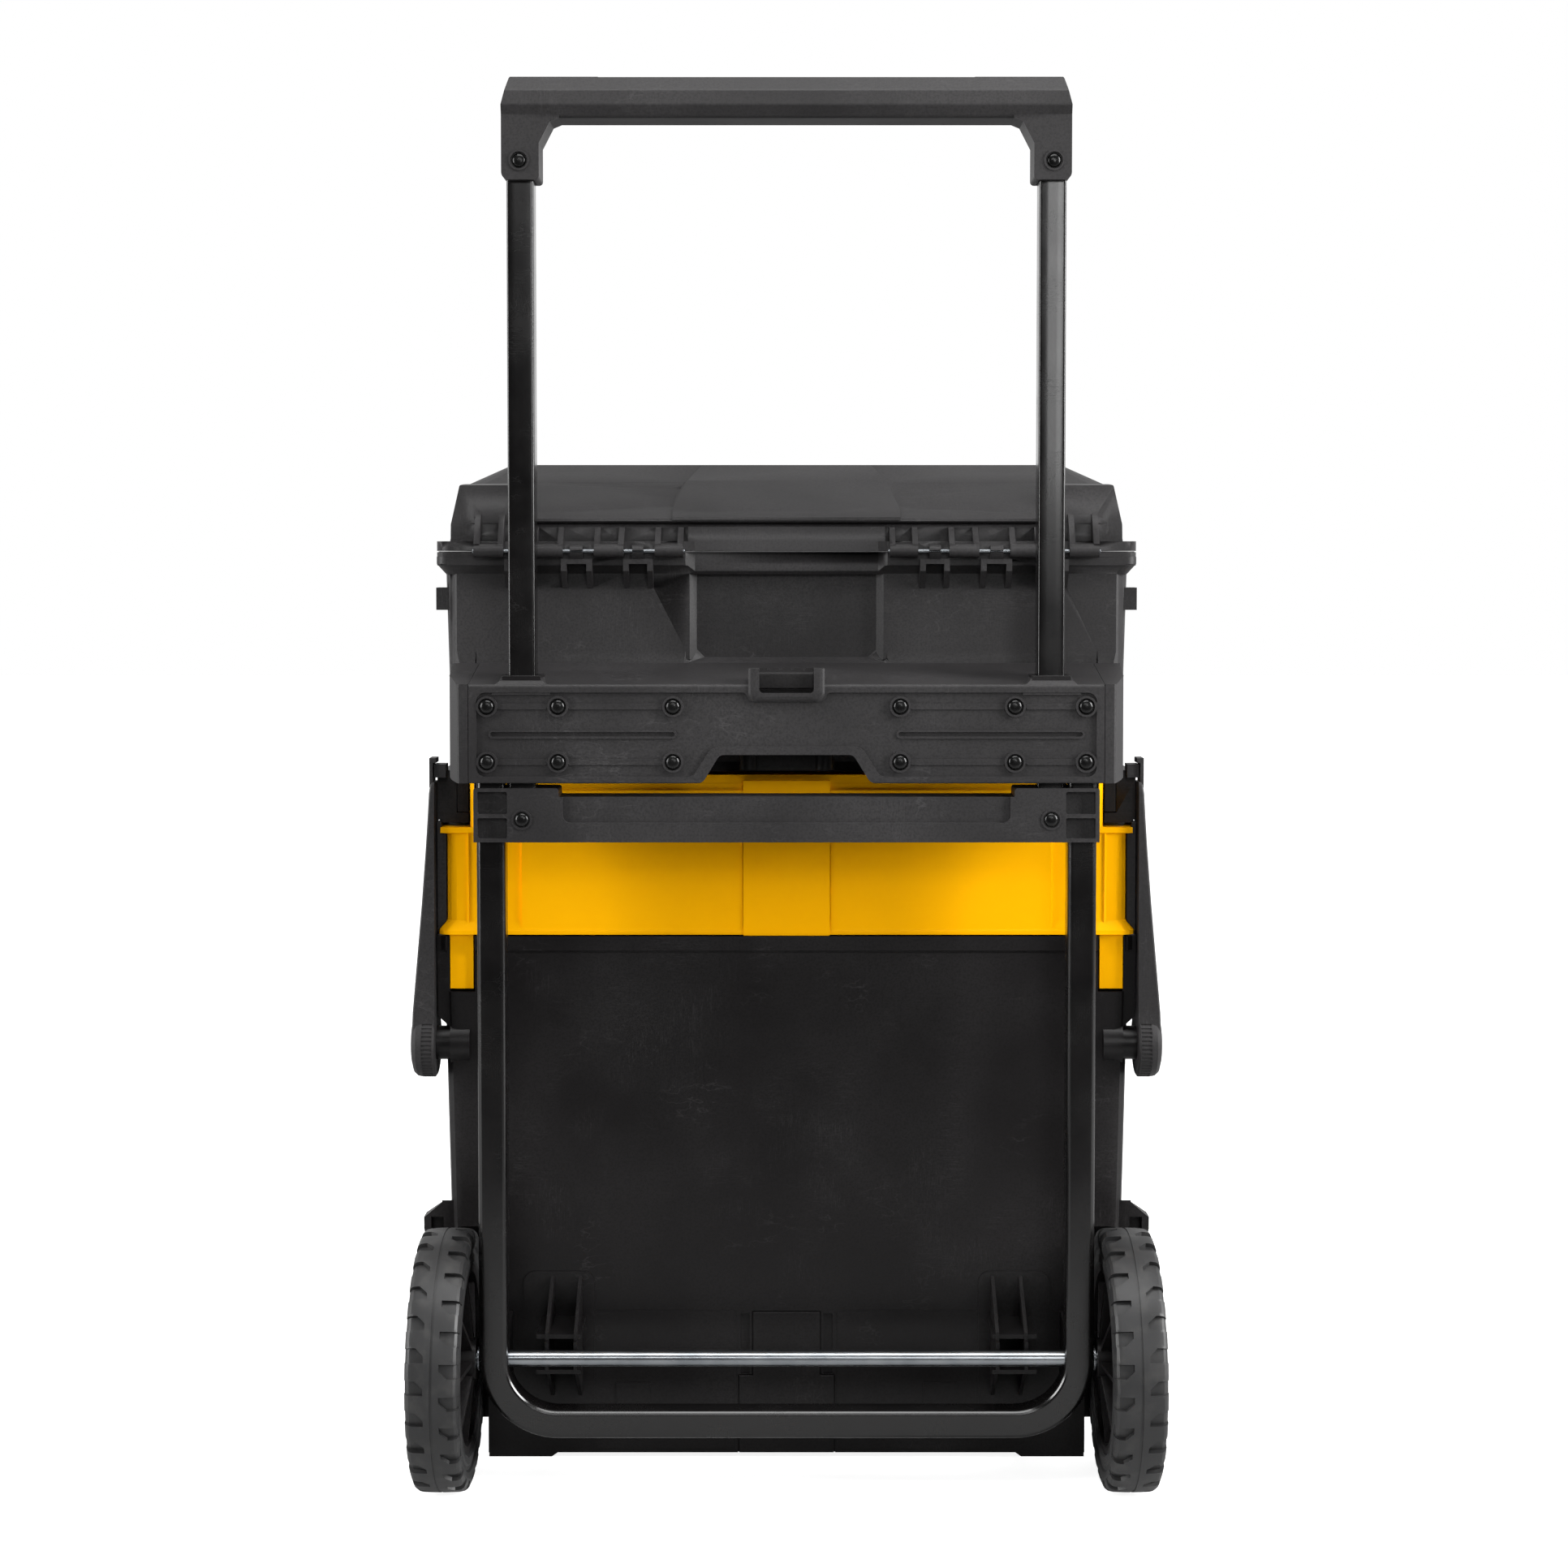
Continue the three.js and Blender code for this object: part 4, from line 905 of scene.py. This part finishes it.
def make_tyre(sign, side):
    """A moulded tyre: two staggered rows of notched lugs each side of a raised centre line."""
    radius, inner, outer = 89.0, 218.0, 254.0
    pitch = 2 * math.pi * radius / TREAD_BLOCKS
    centre = (inner + outer) / 2
    half = (outer - inner) / 2
    depth = 3.0
    slab = box(-half, half, 0, pitch, -9, 0)
    notches = []
    for way, shift in ((1, 0.0), (-1, pitch / 2)):
        shape = [(half + 4, 2.0), (5.2, 2.0), (5.2, 6.4), (10.5, 11.6), (half + 4, 11.6)]
        for repeat in (-pitch, 0.0, pitch):
            points = []
            for a, c in shape:
                along = c if way > 0 else 13.6 - c
                points.append((way * a, along + shift + repeat))
            notches.append(prism("Z", points, -depth, 4))
    notches.append(box(-0.9, 0.9, -1, pitch + 1, -0.5, 4))
    carve(slab, notches)
    bm = bmesh.new()
    bm.from_mesh(slab.data)
    drop(slab)
    for k in range(1, 6):
        cut_plane(bm, (0, pitch * k / 6, 0), (0, 1, 0))
    for a in (-16.6, -14.8, -12.5, -9, -4.5, 4.5, 9, 12.5, 14.8, 16.6):
        cut_plane(bm, (a, 0, 0), (1, 0, 0))
    ends = [
        f
        for f in bm.faces
        if any(all(abs(v.co.y - y * MM) < 1e-6 for v in f.verts) for y in (0, pitch))
    ]
    bmesh.ops.delete(bm, geom=ends, context="FACES")
    vertices, faces = [], []
    bm.verts.index_update()
    for k in range(TREAD_BLOCKS):
        for v in bm.verts:
            a, c, h = (value / MM for value in v.co)
            edge = max(0.0, abs(a) - (half - 5.0))
            fall = 0.0022 * a * a + (5.0 - math.sqrt(max(0.0, 25.0 - edge * edge)))
            r = radius + max(h, -9.0) - (fall if h > -8.9 else 0.0)
            angle = (c / pitch + k) * 2 * math.pi / TREAD_BLOCKS
            y, z = AXLE_Y + r * math.cos(angle), AXLE_Z + r * math.sin(angle)
            vertices.append((sign * (centre + a), y, z))
        start = k * len(bm.verts)
        faces.extend(tuple(start + v.index for v in f.verts) for f in bm.faces)
    bm.free()
    tread = solid("tread", vertices, faces)
    sidewall = (
        (81.5, 0.2),
        (80, 0.0),
        (76, 0.6),
        (74.5, 1.6),
        (72, 1.6),
        (70.5, 0.8),
        (66, 0.8),
        (64.4, 2),
        (64.4, 9),
        (81.5, 9),
    )
    walls = []
    for face in (1, -1):
        profile = [(r, sign * (centre + face * (half - sunk))) for r, sunk in sidewall]
        walls.append(turned(profile, (AXLE_Y, AXLE_Z)))
    near, far = sign * (centre - half + 6), sign * (centre + half - 6)
    core = turned([(64.4, near), (81, near), (81, far), (64.4, far)], (AXLE_Y, AXLE_Z))
    tyre = gather([tread, *walls, core])
    bm = bmesh.new()
    bm.from_mesh(tyre.data)
    bmesh.ops.remove_doubles(bm, verts=bm.verts, dist=5e-6)
    bm.to_mesh(tyre.data)
    bm.free()
    tyre.name = tyre.data.name = "fine_" + side + "_tyre"
    soften(tyre, 0.22 * MM, 2, 32.0)
    finish_piece(tyre, side + "_tyre")


def cut_plane(bm, point, normal):
    """Adds edges where a plane crosses the mesh."""
    everything = [*bm.verts, *bm.edges, *bm.faces]
    bmesh.ops.bisect_plane(
        bm, geom=everything, dist=1e-7, plane_co=Vector(point) * MM, plane_no=normal
    )


# ------------------------------------------------------------------ tool box and lid


def rim_step():
    """The rim stands back between the two hinges, with sloping ends."""
    plan = [(-72.5, 72.6), (-65, 67.6), (65, 67.6), (72.5, 72.6), (72.5, 90), (-72.5, 90)]
    return prism("Z", plan, 634, 662)


def make_tool_box():
    """The upper box: a recess with cut corners in its rear wall, mould lines and hinge ribs."""
    shell = from_cad("tool_box")
    side = [(59, 500), (65.5, 500), (67.6, 570), (66, 579), (66, 640), (59, 640)]
    corner = [(231, 69), (236.5, 64.5, 6), (241, 58), (241, 69)]
    wall = prism("X", side, -240, 240)
    carve(wall, sides_of(lambda s: [prism("Z", flip(s, corner), 490, 645)]))
    near = [(-73, 571.5), (-72, 570.4), (72, 570.4), (73, 571.5), (73, 652), (-73, 652)]
    far = [(-66, 582), (-58.5, 574.5), (58.5, 574.5), (66, 582), (66, 652), (-66, 652)]
    recess = loft([[(x * 1.01, 68, z - 0.6) for x, z in near], [(x, 60.2, z) for x, z in far]])
    lines = sides_of(lambda s: [box(*span(s, 220.6, 221.6), 65.3, 70, 560, 645)])
    carve(wall, [recess, *lines])
    wedge = tub([(633.5, 243, -205, 65.5), (641, 249, -213, 72), (646, 249, -213, 72)], 8)
    carve(wedge, [tub([(630, 240, -203, 60), (650, 240, -203, 60)], 6)])
    catches = sides_of(
        lambda s: [
            box(*span(s, 245.5, 249.7), 18, 62, 458, 488),
            box(*span(s, 245.5, 249.7), 50, 62, 487, 498),
        ]
    )
    fuse(shell, [wall, wedge, *catches])
    carve(shell, [rim_step(), parting_line(649.3, 650.5)])
    complete(shell, "tool_box", 0.55, 3)


def parting_line(low, high):
    """The thin shadow gap between the box and its lid."""
    outside = box(-270, 270, -240, 100, low, high)
    plan = [
        (-247.9, -212, 9),
        (247.9, -212, 9),
        (247.9, 70.8, 9),
        (72, 70.8),
        (65, 66.4),
        (-65, 66.4),
        (-72, 70.8),
        (-247.9, 70.8, 9),
    ]
    return carve(outside, [prism("Z", plan, low - 1, high + 1)])


def make_lid():
    """The lid: a sloping rear with a shadow line under it, square ends and a raised middle."""
    shell = from_cad("lid")
    end_side = [(64, 651), (64, 662), (58.5, 697), (18, 701), (18, 651)]
    end_rear = [(190, 640), (239, 640), (239, 669, 4), (233, 698, 3), (190, 699)]
    ends = []
    for sign in (1, -1):
        block = prism("X", end_side, *span(sign, 193, 250))
        keep_inside(block, prism("Y", flip(sign, end_rear), 0, 90))
        ends.append(block)
    slope = [(64, 669), (66.6, 671.2), (66.6, 673), (31, 700.2), (7, 714.4), (0, 712), (30, 697)]
    panel = prism("X", slope, -194, 194)
    keep_inside(panel, box(-260, 260, -50, 100, 640, 713))
    band = box(-70, 70, 60, 67.6, 650.4, 667.4)
    raised = [(67.2, 671.8), (67.4, 674), (31.6, 701.1), (7, 714.8), (0, 712), (30, 697)]
    crown = [(-81, 660), (81, 660), (81, 690, 30), (62, 712.9), (-62, 712.9), (-81, 690, 30)]
    middle = prism("X", raised, -84, 84)
    keep_inside(middle, prism("Y", crown, -50, 100, 12))
    fuse(shell, [*ends, panel, band, middle])
    inset = 3.0
    levels = [(657, 241, -206, 64), (669, 238.5, -205, 64), (698, 232.5, -188, 30), (713, 203, -168, 6)]
    room = [(z - inset, x - inset, f + inset, r - inset) for z, x, f, r in levels]
    cavity = tub([(649, 238, -203, 61), *room], 9)
    handle_pocket = box(-81, 81, -125, -31, 686, 730)
    carve(cavity, [handle_pocket])
    carve(shell, [cavity, rim_step()])
    complete(shell, "lid", 0.55, 3)


# ------------------------------------------------------------------ collar, bin and side latches


def make_collar():
    """The yellow collar: a panel between two mould lines, lips on its flanges and thin ribs."""
    shell = from_cad("slide_collar")
    middle = [(-30.9, 376.4, 1), (30.9, 376.4, 1), (30.9, 487), (-30.9, 487)]
    panel = prism("Y", middle, 69.5, 74.6)
    sides = sides_of(
        lambda s: [
            box(*span(s, 176, 188.5), 70, 73.5, 378, 481),
            box(*span(s, 226.4, 227.5), 70, 72.0, 382, 450),
            box(*span(s, 222, 246.4), 69, 72.4, 449.6, 453.4),
        ]
    )
    fuse(shell, [panel, *sides])
    carve(shell, sides_of(lambda s: [box(*span(s, 31.1, 190), 71.2, 80, 480, 490)]))
    complete(shell, "slide_collar", 0.4, 2)


def make_lower_bin():
    """The bin: raised pads round the axle saddles, a low step and the side ribs."""
    shell = from_cad("lower_bin")
    pad = [(137.5, 20, 8), (188, 20, 8), (188, 134.8, 8), (137.5, 134.8, 8)]
    step = [(36.5, 6), (139, 6), (139, 106, 2), (36.5, 106, 2)]
    rib = [(240, 375.5), (249.6, 375.5), (249.6, 371), (248.7, 318), (240, 310)]
    foot = [(164, 3.2), (168.5, 0.02), (213.6, 0.02), (213.6, 6), (164, 6)]
    arch_end = [(247, 183.6), (259.5, 173), (270, 173), (270, 200), (247, 200)]
    added = sides_of(
        lambda s: [
            prism("Y", flip(s, pad), 72, 74.9),
            prism("Y", flip(s, step), 72, 74.5),
            prism("Y", flip(s, rib), 50, 71),
        ]
    )
    feet = sides_of(lambda s: [prism("Y", flip(s, foot), 24, 73.9)])
    fuse(shell, [*added, *feet])
    hidden = sides_of(lambda s: [box(*span(s, 97, 123), 75.2, 123, 37, 56)])
    arches = sides_of(lambda s: [prism("Y", flip(s, arch_end), -70, 90)])
    carve(shell, [*hidden, *arches])
    complete(shell, "lower_bin", 0.6, 3)


LATCH_PIVOT = (64.0, 298.0)  # (y, z)


def make_side_latch(sign, side):
    """A long lever with a knurled hub at its pivot and a thin hook over the upper box's catch."""
    sections = (
        (299, 266.6, 44, 84),
        (322, 265.9, 46.5, 81.5),
        (360, 262.7, 48.5, 79.5),
        (400, 259.3, 50, 78.5),
        (440, 256.3, 51, 78),
        (462, 254.9, 52, 77.5),
        (478, 254.0, 52.5, 77.5),
        (484, 253.2, 54, 76.5),
        (486, 252.0, 56, 75),
    )
    rings = []
    for z, outer, front, rear in sections:
        flat = rounded([(250.2, front), (outer, front, 1.7), (outer, rear, 1.7), (250.2, rear)], 4)
        rings.append([(sign * p.x, p.y, z) for p in flat])
    lever = loft(rings)
    profile = ((22.6, 250.2), (24.4, 251.4), (24.4, 260), (23.7, 263.4), (21.4, 265.9), (16, 267.4))
    hub = spun([(r, sign * x) for r, x in profile], LATCH_PIVOT)
    hook = [
        box(*span(sign, 251.6, 254), 57, 73, 482, 503),
        box(*span(sign, 249.3, 254), 57, 73, 499.6, 503),
    ]
    fuse(lever, [hub, *hook])
    y, z = LATCH_PIVOT
    knurl_radius, knurl_pitch = 24.5, 7.2
    grooves = []
    for k in range(-13, 13):
        angle = math.radians((k + 0.5) * knurl_pitch)
        u, v = y + knurl_radius * math.cos(angle), z + knurl_radius * math.sin(angle)
        grooves.append(disc("X", u, v, 1.0, *span(sign, 251.8, 259.2), 10))
    carve(lever, [disc("X", y, z, 12.4, *span(sign, 249, 264)), *grooves])
    complete(lever, side + "_side_latch", 0.3, 2)


def make_collar_fittings(sign, side):
    """The black guide beside a side latch, and the plug in the rear end of a slide."""
    shape = [(242.8, 386), (249.4, 378.6), (249.4, 457.2), (246.2, 457.2), (246.2, 450), (242.8, 450)]
    guide = prism("Y", flip(sign, shape), 24, 68)
    extra(guide, side + "_latch_guide", "slide_collar", "black_plastic", 0.6)
    plug = box(*span(sign, 227.6, 235.7), 55.4, 61.6, 463.6, 488.2)
    extra(plug, side + "_rail_plug", "slide_collar", "black_plastic", 0.4)


make_camera()
make_lights()
make_world()
make_floor()
make_bracket()
make_crossbar()
make_grip()
make_frame()
make_release_housing()
make_tool_box()
make_lid()
make_collar()
make_lower_bin()
for sign, side in ((1, "right"), (-1, "left")):
    make_bracket_end(sign, side)
    make_tyre(sign, side)
    make_side_latch(sign, side)
    make_collar_fittings(sign, side)
RIVETS = sorted(n for n in frame["nodes"] if "rivet" in n)
for node in RIVETS:
    make_dome(node)
REBUILT = {
    "rear_bracket",
    "crossbar",
    "handle_grip",
    "frame_tube",
    "left_bracket_end",
    "right_bracket_end",
    "tool_box",
    "lid",
    "slide_collar",
    "lower_bin",
    "left_tyre",
    "right_tyre",
    "left_side_latch",
    "right_side_latch",
    *RIVETS,
}
for node in sorted(frame["nodes"]):
    if node not in REBUILT:
        refined(node)
